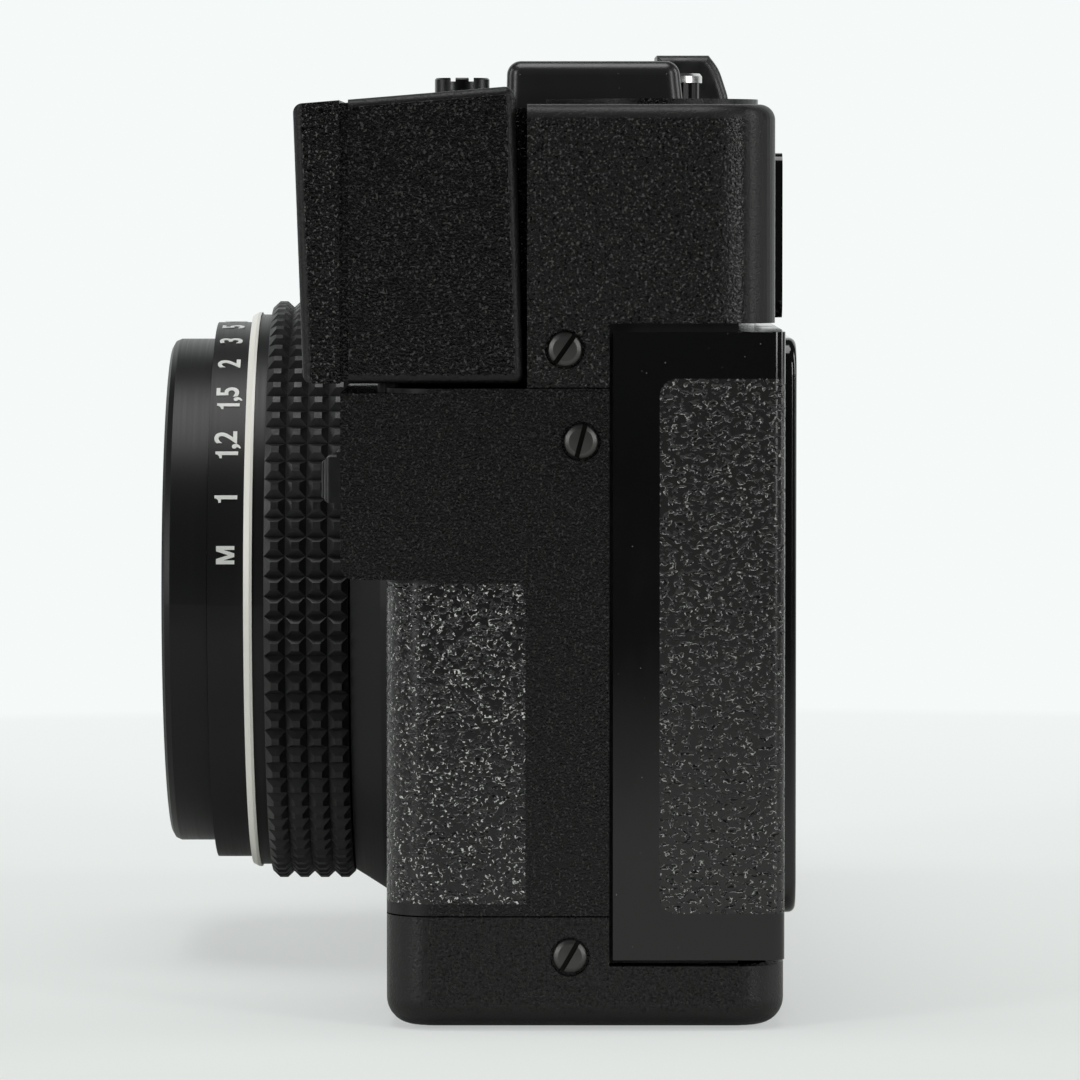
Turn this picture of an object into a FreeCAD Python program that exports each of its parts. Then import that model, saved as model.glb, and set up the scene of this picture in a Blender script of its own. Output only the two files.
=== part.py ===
import FreeCAD, Part
import math
import os

import Sketcher

# Compact 35 mm film camera with a pop-up flash, in millimetres.
# +Z is up, the lens looks along -Y, and +X is the end that holds the film cartridge.
# The origin is the mouth of the tripod socket, on the base, below the lens axis.

SIZES = {
    # Body envelope
    "body_length": 130.0,
    "body_depth": 32.6,
    "body_height": 75.4,
    "front_to_socket": 21.8,
    "wall": 1.5,
    "corner": 4.0,
    "part_gap": 0.3,
    "run_gap": 0.05,
    "slip_gap": 0.25,
    "seam": 0.12,
    # Lines where the mouldings meet
    "base_front_height": 9.1,
    "base_rear_height": 5.2,
    "cover_front_low": 52.4,
    "cover_rear_low": 57.6,
    "step_to_back": 14.35,
    "cover_back_inset": 0.8,
    "base_round": 2.2,
    "cover_round": 1.3,
    "cover_corner": 3.0,
    "bay_depth": 11.55,
    # Leatherette
    "skin": 0.6,
    "skin_low": 10.2,
    "skin_high_left": 36.4,
    "skin_high_right": 51.4,
    "skin_reach": 11.4,
    "skin_flange_gap": 1.0,
    # Film path
    "film_inset": 3.8,
    "film_axis_inset": 12.3,
    "chamber_inset": 16.0,
    "chamber_radius": 12.6,
    "chamber_low": 8.4,
    "chamber_high": 56.2,
    "takeup_inset": 18.5,
    "takeup_radius": 11.0,
    "takeup_low": 12.0,
    "takeup_high": 52.2,
    "spool_radius": 6.6,
    "spindle_radius": 1.5,
    "sprocket_offset": 26.0,
    "sprocket_radius": 5.5,
    "tooth_height": 0.9,
    "tooth_spacing": 28.2,
    "gate_width": 36.0,
    "gate_height": 24.0,
    "tunnel_radius": 14.5,
    "tunnel_depth": 8.0,
    "rail_width": 1.4,
    "rail_height": 0.5,
    "rail_spacing": 36.4,
    # Door
    "door_sheet": 1.2,
    "door_low_gap": 0.4,
    "door_top_gap": 0.7,
    "door_corner": 1.2,
    "door_skin_round": 1.4,
    "door_panel_top": 0.7,
    "door_panel_round": 3.0,
    "door_panel_edge": 0.6,
    "rim_start": 10.0,
    "pin_reach": 0.6,
    "seal_size": 0.9,
    "door_rim": 1.1,
    "door_panel_rise": 1.2,
    "door_panel_inset": 8.0,
    "door_panel_far": 10.0,
    "door_panel_margin": 2.8,
    "door_skin_front": 3.8,
    "door_skin_margin": 3.8,
    "hinge_inset": 2.0,
    "hinge_depth": 2.0,
    "hinge_radius": 0.8,
    "knuckle_radius": 1.6,
    "pressure_width": 46.0,
    "pressure_height": 34.0,
    "pressure_sheet": 0.9,
    "pressure_lift": 0.3,
    "plate_round": 2.0,
    "spring_sheet": 0.25,
    "spring_flat": 6.0,
    "spring_width": 10.0,
    "latch_sheet": 1.0,
    "latch_width": 3.0,
    "latch_length": 12.0,
    "latch_nose": 1.6,
    "latch_travel": 1.8,
    # Flash
    "flash_width": 27.6,
    "flash_front": 29.3,
    "flash_back": 10.5,
    "flash_tilt": 0.8,
    "flash_round": 0.8,
    "flash_inset": 0.25,
    "window_margin": 3.0,
    "window_tall": 15.0,
    "window_inset": 0.3,
    "reflector_depth": 6.0,
    "reflector_sheet": 0.4,
    "tube_radius": 1.3,
    "flash_low": 52.7,
    "flash_high_front": 75.4,
    "flash_high_back": 76.95,
    "flash_neck": 0.7,
    "bezel_depth": 3.8,
    "bump_rise": 3.66,
    "bump_low": 36.7,
    "bump_high": 51.9,
    "post_radius": 0.9,
    "post_inset": 4.6,
    "flash_lift": 11.0,
    "post_back": 0.2,
    "bump_corner": 1.2,
    "slider_inset": 8.0,
    "slider_height": 7.9,
    "slider_width": 5.0,
    "slider_tall": 3.8,
    "slider_rise": 1.5,
    "slider_stem": 2.0,
    "slider_round": 0.5,
    "slider_travel": 3.0,
    # Lens, with distances measured forward from the body's front
    "lens_height": 32.1,
    "throat_radius": 22.0,
    "flange_radius": 27.6,
    "flange_neck_radius": 25.5,
    "flange_length": 4.0,
    "grip_low": 4.15,
    "grip_high": 11.55,
    "grip_rows": 4,
    "grip_teeth": 92,
    "grip_thick": 2.2,
    "grip_groove": 0.55,
    "grip_flat": 0.36,
    "collar_step": 1.0,
    "white_low": 12.6,
    "white_high": 13.35,
    "white_step": 1.2,
    "scale_step": 0.3,
    "scale_high": 16.55,
    "front_radius": 22.8,
    "front_high": 20.65,
    "thread_radius": 21.75,
    "thread_length": 3.2,
    "trim_ledge": 0.6,
    "cell_radius": 10.8,
    "glass_radius": 9.2,
    "shutter_radius": 18.0,
    "focus_travel": 1.5,
    "sleeve_wall": 1.95,
    "barrel_wall": 1.0,
    "barrel_length": 12.0,
    "unit_low": 7.0,
    "cell_high": 16.9,
    "trim_step": 0.9,
    "trim_mid": 15.2,
    "meter_radius": 1.6,
    "meter_offset": 17.4,
    "front_glass_thick": 3.4,
    "front_glass_curve": 24.0,
    "rear_length": 7.5,
    "aperture_radius": 6.5,
    "shutter_low": 0.6,
    "shutter_sheet": 1.0,
    "shutter_room": 1.25,
    "blade_pivot_x": 10.5,
    "blade_pivot_z": 3.0,
    "blade_pin": 0.8,
    "blade_overlap": 0.3,
    "blade_width": 6.8,
    "blade_reach": 6.8,
    # Top plate
    "pad_radius": 8.85,
    "pad_rise": 0.55,
    "disc_radius": 6.9,
    "pad_shift": 1.65,
    "disc_depth": 3.7,
    "shaft_radius": 2.5,
    "hump_near": 30.0,
    "hump_length": 32.0,
    "hump_front": 12.1,
    "hump_back": 3.1,
    "hump_rise": 4.05,
    "lever_inset": 16.0,
    "lever_radius": 6.0,
    "lever_forward": 4.0,
    "tip_rise": 5.95,
    "button_radius": 2.6,
    "button_rise": 3.6,
    "button_offset": 30.0,
    "button_forward": 16.6,
    "dial_radius": 4.5,
    "dial_rise": 3.6,
    "dial_gap": 3.5,
    "counter_offset": 24.0,
    "counter_window_radius": 3.4,
    "dial_back": 0.9,
    "lever_shaft_radius": 2.0,
    "boss_height": 4.0,
    "hump_draft": 0.45,
    "hump_front_draft": 0.1,
    "hump_round": 1.2,
    # Finder
    "finder_drop": 9.9,
    "finder_width": 21.0,
    "finder_tall": 11.5,
    "glass_sheet": 1.0,
    "glass_round": 1.0,
    "eye_width": 11.0,
    "eye_tall": 8.0,
    "eye_step": 1.0,
    "eye_frame_width": 25.0,
    "eye_frame_drop": 0.2,
    "eye_frame_over": 2.1,
    "eye_frame_rise": 1.7,
    "eye_round": 1.5,
    "rewind_travel": 9.0,
    "clip_sheet": 0.8,
    "clip_groove": 0.4,
    "clip_rim": 0.9,
    "fork_width": 1.6,
    "fork_depth": 3.0,
    "arm_thickness": 1.1,
    "arm_width": 4.2,
    "arm_pivot": 4.7,
    "arm_end": 0.8,
    "arm_pin": 0.4,
    "knob_offset": 3.9,
    "knob_radius": 2.1,
    "knob_height": 1.7,
    "rivet_radius": 0.7,
    "lever_sheet": 1.5,
    "tip_far": 7.0,
    "tip_near": 9.0,
    "tip_front": 2.1,
    "tip_depth": 6.95,
    "tip_round": 1.0,
    "tip_back_tall": 1.5,
    "tip_lean": 0.95,
    "tip_shoulder": 1.25,
    "tip_slant": 1.95,
    "tip_curve": 4.5,
    "cap_radius": 5.4,
    "cap_height": 1.2,
    "counter_gap": 0.6,
    "counter_post": 1.0,
    "counter_sheet": 0.8,
    "counter_radius": 6.0,
    "button_edge": 0.15,
    "button_groove": 0.5,
    "groove_depth": 0.35,
    "groove_offset": 0.86,
    "cable_radius": 1.6,
    "cable_length": 4.0,
    "collar_out": 4.3,
    "collar_rise": 1.0,
    "dial_cap": 0.86,
    "flute_depth": 0.35,
    "flute_count": 24,
    "spool_slots": 6,
    "slot_gap": 1.6,
    "sprocket_teeth": 8,
    "tooth_width": 1.6,
    "tooth_tall": 2.0,
    # Fasteners and base
    "screw_radius": 1.4,
    "screw_rise": 0.5,
    "head_recess": 0.6,
    "shank_radius": 0.8,
    "shank_length": 4.0,
    "slot_width": 0.4,
    "slot_depth": 0.3,
    "screw_back_high": 17.97,
    "screw_back_mid": 16.67,
    "screw_back_low": 17.56,
    "screw_above_seam": 3.1,
    "screw_below_seam": 4.4,
    "screw_base_height": 5.9,
    "socket_radius": 3.175,
    "socket_length": 5.0,
    "bush_radius": 4.6,
    "battery_length": 52.0,
    "battery_radius": 7.2,
    "battery_margin": 0.8,
    "lid_lip": 1.5,
    "lid_travel": 5.0,
    "lid_thickness": 1.0,
    "rib_inset": 24.0,
    "foot_inset": 12.0,
    "foot_y": 4.0,
    "foot_shank": 6.0,
    "release_radius": 1.8,
    "release_depth": 3.0,
    "release_travel": 1.2,
    "spindle_depth": 2.5,
    "rail_reach": 1.0,
    "knuckle_low": 7.0,
    "knuckle_high": 55.4,
    "ear_height": 5.0,
}

doc = FreeCAD.newDocument("compact_camera")
sheet = doc.addObject("Spreadsheet::Sheet", "dims")


class Size:
    """A length that knows its number and the sheet formula that gives it."""

    def __init__(self, value, text=None):
        self.value = float(value)
        self.text = text or f"({round(float(value), 6)})"

    def joined(self, other, sign, value):
        return Size(value, f"({self.text} {sign} {lift(other).text})")

    def __add__(self, other):
        return self.joined(other, "+", self.value + lift(other).value)

    def __sub__(self, other):
        return self.joined(other, "-", self.value - lift(other).value)

    def __mul__(self, other):
        return self.joined(other, "*", self.value * lift(other).value)

    def __truediv__(self, other):
        return self.joined(other, "/", self.value / lift(other).value)

    def __radd__(self, other):
        return lift(other) + self

    def __rsub__(self, other):
        return lift(other) - self

    def __rmul__(self, other):
        return lift(other) * self

    def __neg__(self):
        return Size(-self.value, f"(-{self.text})")


def lift(number):
    return number if isinstance(number, Size) else Size(number)


class Dims:
    """The driving dimensions, each an attribute that is bound to its sheet cell."""


d = Dims()
for row, (alias, number) in enumerate(SIZES.items(), start=1):
    sheet.set(f"A{row}", str(number))
    sheet.setAlias(f"A{row}", alias)
    setattr(d, alias, Size(number, f"dims.{alias}"))
doc.recompute()

X_AXIS = FreeCAD.Vector(1, 0, 0)
Y_AXIS = FreeCAD.Vector(0, 1, 0)
Z_AXIS = FreeCAD.Vector(0, 0, 1)
UPRIGHT = FreeCAD.Rotation()
ALONG = {"x": FreeCAD.Rotation(Y_AXIS, 90), "y": FreeCAD.Rotation(X_AXIS, -90), "z": UPRIGHT}
FORWARD = FreeCAD.Rotation(X_AXIS, 90)
NODES = {}


def bind(thing, prop, size):
    """Drive one property from the sheet."""
    thing.setExpression(prop, lift(size).text)


def place(thing, x, y, z, turn=UPRIGHT):
    """Put an object at a point given by sizes."""
    x, y, z = lift(x), lift(y), lift(z)
    thing.Placement = FreeCAD.Placement(FreeCAD.Vector(x.value, y.value, z.value), turn)
    for letter, size in (("x", x), ("y", y), ("z", z)):
        bind(thing, f"Placement.Base.{letter}", size)
    return thing


def node(thing, label):
    """Give a finished piece its name."""
    thing.Label = label
    NODES[label] = thing
    return thing


def block(name, x, y, z):
    """A plain box between two corners, each side a (low, high) pair."""
    box = doc.addObject("Part::Box", name)
    for prop, (low, high) in (("Length", x), ("Width", y), ("Height", z)):
        bind(box, prop, lift(high) - low)
    return place(box, x[0], y[0], z[0])


def rod(name, axis, radius, span, centre):
    """A cylinder along an axis; centre holds its place on the other two axes."""
    cylinder = doc.addObject("Part::Cylinder", name)
    bind(cylinder, "Radius", radius)
    bind(cylinder, "Height", lift(span[1]) - span[0])
    at = list(centre)
    at.insert("xyz".index(axis), span[0])
    return place(cylinder, *at, ALONG[axis])


def gather(kind, name, shapes):
    joined = doc.addObject(kind, name)
    joined.Shapes = shapes
    return joined


def fuse(name, *shapes):
    return gather("Part::MultiFuse", name, list(shapes))


def group(name, *shapes):
    """Separate solids kept together in one node."""
    compound = doc.addObject("Part::Compound", name)
    compound.Links = list(shapes)
    return compound


def common(name, first, second):
    return gather("Part::MultiCommon", name, [first, second])


def cut(name, base, *tools):
    """The base less every tool."""
    result = doc.addObject("Part::Cut", name)
    result.Base = base
    result.Tool = tools[0] if len(tools) == 1 else fuse(name + "_tools", *tools)
    return result


def plane_of(body, role):
    for feature in body.Origin.OriginFeatures:
        if feature.Role == role:
            return feature
    raise ValueError(role)


def outline_sketch(body, role, points):
    """A closed outline of straight runs whose corners are bound to the sheet."""
    sketch = body.newObject("Sketcher::SketchObject", body.Name + "_outline")
    sketch.AttachmentSupport = [(plane_of(body, role), "")]
    sketch.MapMode = "FlatFace"
    corners = [(lift(across), lift(up)) for across, up in points]
    spots = [FreeCAD.Vector(across.value, up.value, 0) for across, up in corners]
    count = len(spots)
    for index in range(count):
        sketch.addGeometry(Part.LineSegment(spots[index], spots[(index + 1) % count]), False)
    for index in range(count):
        sketch.addConstraint(Sketcher.Constraint("Coincident", index, 2, (index + 1) % count, 1))
    for index, (across, up) in enumerate(corners):
        for kind, size in (("DistanceX", across), ("DistanceY", up)):
            number = sketch.addConstraint(Sketcher.Constraint(kind, -1, 1, index, 1, size.value))
            if "dims" in size.text:
                sketch.setExpression(f"Constraints[{number}]", size.text)
    return sketch


def extruded(name, role, points, depth, at, turn=UPRIGHT):
    """An outline pushed out along its plane's normal."""
    body = doc.addObject("PartDesign::Body", name)
    sketch = outline_sketch(body, role, points)
    pad = body.newObject("PartDesign::Pad", name + "_pad")
    pad.Profile = sketch
    bind(pad, "Length", depth)
    pad.Reversed = role == "XZ_Plane"
    place(body, *at, turn)
    return body


def rounded(body, radius, test):
    """Round the edges of a body's tip that pass the test."""
    doc.recompute()
    tip = body.Tip
    names = [f"Edge{index + 1}" for index, edge in enumerate(tip.Shape.Edges) if test(edge)]
    if not names:
        raise ValueError(f"{body.Name}: no edge to round")
    fillet = body.newObject("PartDesign::Fillet", f"{body.Name}_round_{len(body.Group)}")
    fillet.Base = (tip, names)
    bind(fillet, "Radius", radius)
    body.Tip = fillet
    return body


def runs(edge, axis):
    """True for a straight edge along an axis."""
    return edge.Curve.TypeId == "Part::GeomLine" and abs(edge.tangentAt(edge.FirstParameter).dot(axis)) > 0.999


def rounded_block(name, x, y, z, radius, test=lambda edge: runs(edge, Z_AXIS)):
    """A box with rounded edges, by default the upright ones."""
    width = lift(x[1]) - x[0]
    depth = lift(y[1]) - y[0]
    points = [(0, 0), (width, 0), (width, depth), (0, depth)]
    body = extruded(name, "XY_Plane", points, lift(z[1]) - z[0], (x[0], y[0], z[0]))
    return rounded(body, radius, test)


def turned(name, outline, at=None, turn=FORWARD):
    """A revolved piece; outline holds (radius, distance along the axis) corners."""
    body = doc.addObject("PartDesign::Body", name)
    sketch = outline_sketch(body, "XZ_Plane", outline)
    spin = body.newObject("PartDesign::Revolution", name + "_spin")
    spin.Profile = sketch
    spin.ReferenceAxis = (sketch, ["V_Axis"])
    spin.Angle = 360
    place(body, *(at or (0, front, d.lens_height)), turn)
    return body


def tube(name, inner, outer, low, high, at=None, turn=FORWARD):
    """A plain ring about an axis."""
    return turned(name, [(inner, low), (outer, low), (outer, high), (inner, high)], at, turn)


# Main planes and axes

near = d.body_length / 2
far = -near
front = -d.front_to_socket
back = front + d.body_depth
top = d.body_height
step_y = back - d.step_to_back
film_y = back - d.film_inset
cartridge = (near - d.chamber_inset, back - d.film_axis_inset)
spool = (far + d.takeup_inset, back - d.film_axis_inset)
sprocket = (-d.sprocket_offset, film_y - d.sprocket_radius)
inner_near = near - d.wall
inner_far = far + d.wall
inner_front = front + d.wall
inner_corner = d.corner - d.wall
beyond = 5.0
flash_far = near - d.flash_width
hinge = (far + d.hinge_inset, back - d.hinge_depth)
bay_back = front + d.bay_depth
pad_top = top + d.pad_rise
cover_roof = top - d.wall
cover_back = back - d.cover_back_inset


EAR_SPANS = (("low", (d.knuckle_low, d.knuckle_low + d.ear_height)),
             ("high", (d.knuckle_high - d.ear_height, d.knuckle_high)))


def front_upright(edge):
    """True for an upright edge on the front side of a piece drawn from its front."""
    return runs(edge, Z_AXIS) and edge.Vertexes[0].Y < 0.01


def bottom_loop(edge):
    return max(vertex.Z for vertex in edge.Vertexes) < 0.01


def wide(pair, extra):
    """The same span, longer at both ends."""
    return (lift(pair[0]) - extra, lift(pair[1]) + extra)


# Film chassis: one moulding with both chambers, the gate, the rails and the battery bay

def make_chassis():
    z_span = (d.base_rear_height, d.cover_rear_low)
    block_ = rounded_block("chassis_block", (inner_far, inner_near), (inner_front, film_y),
                           z_span, inner_corner, front_upright)
    mouth_end = film_y + beyond
    cavities = []
    wells = [
        ("cartridge", cartridge, d.chamber_radius, (d.chamber_low, d.chamber_high)),
        ("takeup", spool, d.takeup_radius, (d.takeup_low, d.takeup_high)),
        ("sprocket", sprocket, d.sprocket_radius + d.tooth_height + d.slip_gap * 2,
         (d.takeup_low, d.takeup_high)),
    ]
    for name, (x, y), radius, span in wells:
        cavities.append(rod(name + "_well", "z", radius, span, (x, y)))
        cavities.append(block(name + "_mouth", (x - radius, x + radius), (y, mouth_end), span))
    half_width = d.gate_width / 2
    half_height = d.gate_height / 2
    cavities.append(block("gate_tunnel", (-half_width, half_width),
                          (inner_front + d.tunnel_depth - 1, mouth_end),
                          (d.lens_height - half_height, d.lens_height + half_height)))
    cavities.append(rod("lens_tunnel", "y", d.tunnel_radius,
                        (inner_front - 1, inner_front + d.tunnel_depth), (0, d.lens_height)))
    shaft_hole = d.shaft_radius + d.run_gap
    cavities.append(rod("rewind_shaft_hole", "z", shaft_hole,
                        (d.chamber_high - 1, d.cover_rear_low + 1), cartridge))
    pivot = d.spindle_radius + d.run_gap
    for name, centre in (("spool", spool), ("sprocket", sprocket)):
        cavities.append(rod(name + "_floor_hole", "z", pivot,
                            (d.takeup_low - d.spindle_depth, d.takeup_low + 1), centre))
        cavities.append(rod(name + "_roof_hole", "z", pivot,
                            (d.takeup_high - 1, d.cover_rear_low + 1), centre))
    bay_half = d.battery_length / 2
    bay_y = inner_front + d.battery_radius + d.battery_margin
    bay_z = d.wall + d.battery_radius + d.battery_margin
    cavities.append(rod("battery_bore", "x", d.battery_radius, (-bay_half, bay_half), (bay_y, bay_z)))
    cavities.append(block("battery_mouth", (-bay_half, bay_half),
                          (bay_y - d.battery_radius, bay_y + d.battery_radius), (0, bay_z)))
    flash_bay = block("flash_well", (flash_far - d.slip_gap, near + beyond),
                      (front - beyond, bay_back), (d.bump_high, top))
    cavities.append(flash_bay)
    cavities.append(rod("hinge_relief", "z", d.knuckle_radius + d.slip_gap, wide(z_span, 1), hinge))
    release = d.release_radius + d.run_gap
    cavities.append(rod("release_hole", "z", release,
                        (0, d.base_rear_height + d.release_depth), sprocket))

    cavities.extend(latch_groove())
    for spot in SCREW_SPOTS:
        cavities.extend(screw_holes("chassis", spot, with_recess=False))
    for index, (x, y) in enumerate(FOOT_SPOTS):
        cavities.append(rod(f"foot_anchor_{index}", "z", d.shank_radius + d.run_gap,
                            (0, d.head_recess + d.foot_shank), (x, y)))
    hollow = cut("chassis_hollow", block_, *cavities)
    rails = []
    rail_x = (-half_width - d.rail_reach, half_width + d.rail_reach)
    for name, sign in (("low", -1), ("high", 1)):
        rail_z = d.lens_height + sign * d.rail_spacing / 2
        rails.append(block(f"rail_{name}", rail_x, (film_y, film_y + d.rail_height),
                           (rail_z - d.rail_width / 2, rail_z + d.rail_width / 2)))
    ears = []
    for name, span in EAR_SPANS:
        barrel = rod(f"ear_{name}_barrel", "z", d.knuckle_radius, span, hinge)
        web = block(f"ear_{name}_web", (hinge[0] - d.knuckle_radius, hinge[0] + d.knuckle_radius),
                    (hinge[1] - d.knuckle_radius * 2, hinge[1]), span)
        solid = fuse(f"ear_{name}_solid", barrel, web)
        ears.append(cut(f"ear_{name}", solid, rod(f"ear_{name}_bore", "z", d.hinge_radius, wide(span, 1), hinge)))
    return node(fuse("chassis", hollow, *rails, *ears), "film_chassis")


# Leatherette: a thin skin that wraps the body's front and its end

def front_skin(name, x, z):
    """The skin over one side of the lens, cut round the lens flange."""
    spans = ((far, near), (front, back), z)
    outer = rounded_block(name + "_outer", *spans, d.corner, front_upright)
    inner = rounded_block(name + "_inner", wide(spans[0], -d.skin), (front + d.skin, back + 1), wide(z, 1),
                          d.corner - d.skin, front_upright)
    shell = cut(name + "_shell", outer, inner)
    region = block(name + "_region", x, (front - 1, front + d.skin_reach), z)
    trimmed = common(name + "_trimmed", shell, region)
    lens_clear = rod(name + "_lens_clear", "y", d.flange_radius + d.part_gap,
                     (front - 1, front + 2), (0, d.lens_height))
    return cut(name, trimmed, lens_clear)


def make_skins():
    inner_edge = d.flange_radius + d.skin_flange_gap
    left = front_skin("skin_left", (inner_edge, near + 1), (d.skin_low, d.skin_high_left))
    right = front_skin("skin_right", (far - 1, inner_edge * -1), (d.skin_low, d.skin_high_right))
    return node(left, "left_front_skin"), node(right, "right_front_skin")


# Screws: the mouldings, the chassis and the screws share these places

SCREW_SPOTS = {
    "cover": (back - d.screw_back_high, d.cover_front_low + d.screw_above_seam, 55),
    "shell": (back - d.screw_back_mid, d.cover_front_low - d.screw_below_seam, 75),
    "base": (back - d.screw_back_low, d.screw_base_height, 60),
}
ENDS = {"near": (near, 1), "far": (far, -1)}


def ordered(first, second):
    return (first, second) if first.value < second.value else (second, first)


def screw_holes(name, spot, with_recess=True):
    """Shank holes through both ends, with a recess for each head."""
    y, z, _ = SCREW_SPOTS[spot]
    tools = []
    for end, (face, sign) in ENDS.items():
        label = f"{name}_{spot}_{end}"
        depth = ordered(face - sign * d.head_recess, face - sign * (d.head_recess + d.shank_length))
        tools.append(rod(label + "_shank_hole", "x", d.shank_radius + d.run_gap, depth, (y, z)))
        if with_recess:
            mouth = ordered(face + sign * 1, face - sign * d.head_recess)
            tools.append(rod(label + "_recess", "x", d.screw_radius + d.slip_gap, mouth, (y, z)))
    return tools


def cross_slot(name, x, centre, length, width, angle):
    """A narrow box across a screw head, turned about X."""
    y, z = centre
    across = math.cos(math.radians(angle))
    up = math.sin(math.radians(angle))
    box = doc.addObject("Part::Box", name)
    bind(box, "Length", x[1] - x[0])
    bind(box, "Width", length)
    bind(box, "Height", width)
    corner_y = y - length * (across / 2) + width * (up / 2)
    corner_z = z - length * (up / 2) - width * (across / 2)
    return place(box, x[0], corner_y, corner_z, FreeCAD.Rotation(X_AXIS, angle))


def make_side_screws():
    """Domed slotted screws in both ends of the body."""
    screws = []
    turns = {"near": FreeCAD.Rotation(Y_AXIS, 90), "far": FreeCAD.Rotation(Y_AXIS, -90)}
    for spot, (y, z, angle) in SCREW_SPOTS.items():
        for end, (face, sign) in ENDS.items():
            name = f"screw_{spot}_{end}"
            outline = [(0, -d.shank_length), (d.shank_radius, -d.shank_length), (d.shank_radius, 0),
                       (d.screw_radius, 0), (d.screw_radius, d.screw_rise * 0.5),
                       (d.screw_radius * 0.7, d.screw_rise * 0.86), (0, d.screw_rise)]
            seat = face - sign * d.head_recess
            blank = turned(name + "_blank", outline, (seat, y, z), turns[end])
            slot_x = ordered(seat + sign * (d.screw_rise - d.slot_depth), seat + sign * (d.screw_rise + 1))
            slot = cross_slot(name + "_slot", slot_x, (y, z), d.screw_radius * 3, d.slot_width, angle)
            screws.append(cut(name, blank, slot))
    return node(group("side_screw_set", *screws), "side_screws")


# Body shell: front and side walls in one moulding, with the bump that carries the flash

post_spots = [(near - d.post_inset, front + d.post_back), (flash_far + d.post_inset, front + d.post_back)]
slider_x = near - d.slider_inset
slider_z = d.bump_low + d.slider_height


def make_shell(skins):
    z_span = (d.base_front_height + d.seam, d.cover_front_low - d.seam)
    outer = rounded_block("shell_outer", (far, near), (front, step_y), z_span, d.corner, front_upright)
    bump = rounded_block("bump", (flash_far, near), (front - d.bump_rise, front + d.corner),
                         (d.bump_low, d.bump_high), d.bump_corner,
                         lambda edge: bottom_loop(edge) and edge.Vertexes[0].Y + edge.Vertexes[1].Y < 0.01)
    far_wall = block("far_wall", (far, inner_far), (step_y + d.seam, hinge[1] - d.knuckle_radius - d.part_gap),
                     (d.base_rear_height + d.seam, z_span[1]))
    far_joint = block("far_joint", (far, inner_far), (step_y - 1, step_y + 1), z_span)
    inner = rounded_block("shell_inner", (inner_far, inner_near), (inner_front, back),
                          wide(z_span, beyond), inner_corner, front_upright)
    front_wall = front - d.bump_rise + d.wall
    bump_hollow = block("bump_hollow", (flash_far + d.wall, inner_near), (front_wall, inner_front + 1),
                        (d.bump_low + d.wall, d.bump_high - d.wall))
    throat = rod("throat", "y", d.throat_radius, (front - 1, inner_front + 1), (0, d.lens_height))
    tools = [inner, bump_hollow, throat, *skins, *screw_holes("shell", "shell")]
    for index, centre in enumerate(post_spots):
        tools.append(rod(f"post_bore_{index}", "z", d.post_radius + d.run_gap,
                         (d.bump_high - d.wall - 1, d.bump_high + 1), centre))
    for name, span in EAR_SPANS:
        tools.append(block(f"ear_pocket_{name}", (far - 1, inner_far + 1),
                           (hinge[1] - d.knuckle_radius * 2 - d.part_gap, back), wide(span, d.part_gap)))
    stem_x = wide(centred(slider_x, d.slider_stem), d.run_gap)
    tools.append(block("slider_window", (stem_x[0] - d.slider_travel, stem_x[1]),
                       (front - d.bump_rise - 1, front_wall + 1),
                       wide(centred(slider_z, d.slider_stem), d.run_gap)))
    return node(cut("shell", fuse("shell_solid", outer, bump, far_wall, far_joint), *tools), "body_shell")


# Bottom cover: a tray under the whole body, lower at the back where the door sits

def make_bottom_cover():
    z_span = (0, d.base_front_height)
    outer = rounded_block("base_outer", (far, near), (front, back), z_span, d.corner)
    outer = rounded(outer, d.base_round, bottom_loop)
    inner = rounded_block("base_inner", (inner_far, inner_near), (inner_front, back - d.wall),
                          (d.wall, d.base_front_height + 1), inner_corner)
    rear = block("base_step", (far - 1, near + 1), (step_y, back + 1),
                 (d.base_rear_height - d.seam, d.base_front_height + 1))
    bay_half = d.battery_length / 2
    lid = lid_span()
    window = block("battery_window", (-bay_half, bay_half), lid[1], (-1, d.wall + 1))
    track = block("battery_track", *lid)
    bush = rod("bush_seat", "z", d.bush_radius, (-1, d.wall + 1), (0, 0))
    release = rod("release_seat", "z", d.release_radius + d.run_gap, (-1, d.wall + 1), sprocket)
    ribs = []
    for name, x in (("near", near - d.rib_inset), ("far", far + d.rib_inset)):
        ribs.append(block(f"base_rib_{name}", (x, x + d.wall), (inner_front + d.battery_radius * 2, back - d.wall),
                          (d.wall, d.base_rear_height)))
    tray = cut("base_tray", outer, inner, rear, window, track, bush, release)
    solid = fuse("base_solid", tray, *ribs)
    return node(cut("base", solid, *screw_holes("base", "base"), *foot_holes("base")), "bottom_cover")


def lid_span():
    """The battery lid's space in the base, with room for its travel."""
    bay_half = d.battery_length / 2
    bay_y = inner_front + d.battery_radius + d.battery_margin
    half_width = d.battery_radius
    x = (-bay_half - d.lid_lip, bay_half + d.lid_lip + d.lid_travel)
    return x, (bay_y - half_width, bay_y + half_width), (-1, d.lid_thickness)


FOOT_SPOTS = [(near - d.foot_inset, d.foot_y), (far + d.foot_inset, d.foot_y)]


def foot_holes(name):
    tools = []
    for index, centre in enumerate(FOOT_SPOTS):
        tools.append(rod(f"{name}_foot_head_{index}", "z", d.screw_radius + d.slip_gap,
                         (-1, d.head_recess), centre))
        tools.append(rod(f"{name}_foot_shank_{index}", "z", d.shank_radius + d.run_gap,
                         (0, d.head_recess + d.foot_shank), centre))
    return tools


# Top cover: a shell with the flash bay cut out of its corner, and bosses under its roof

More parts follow.
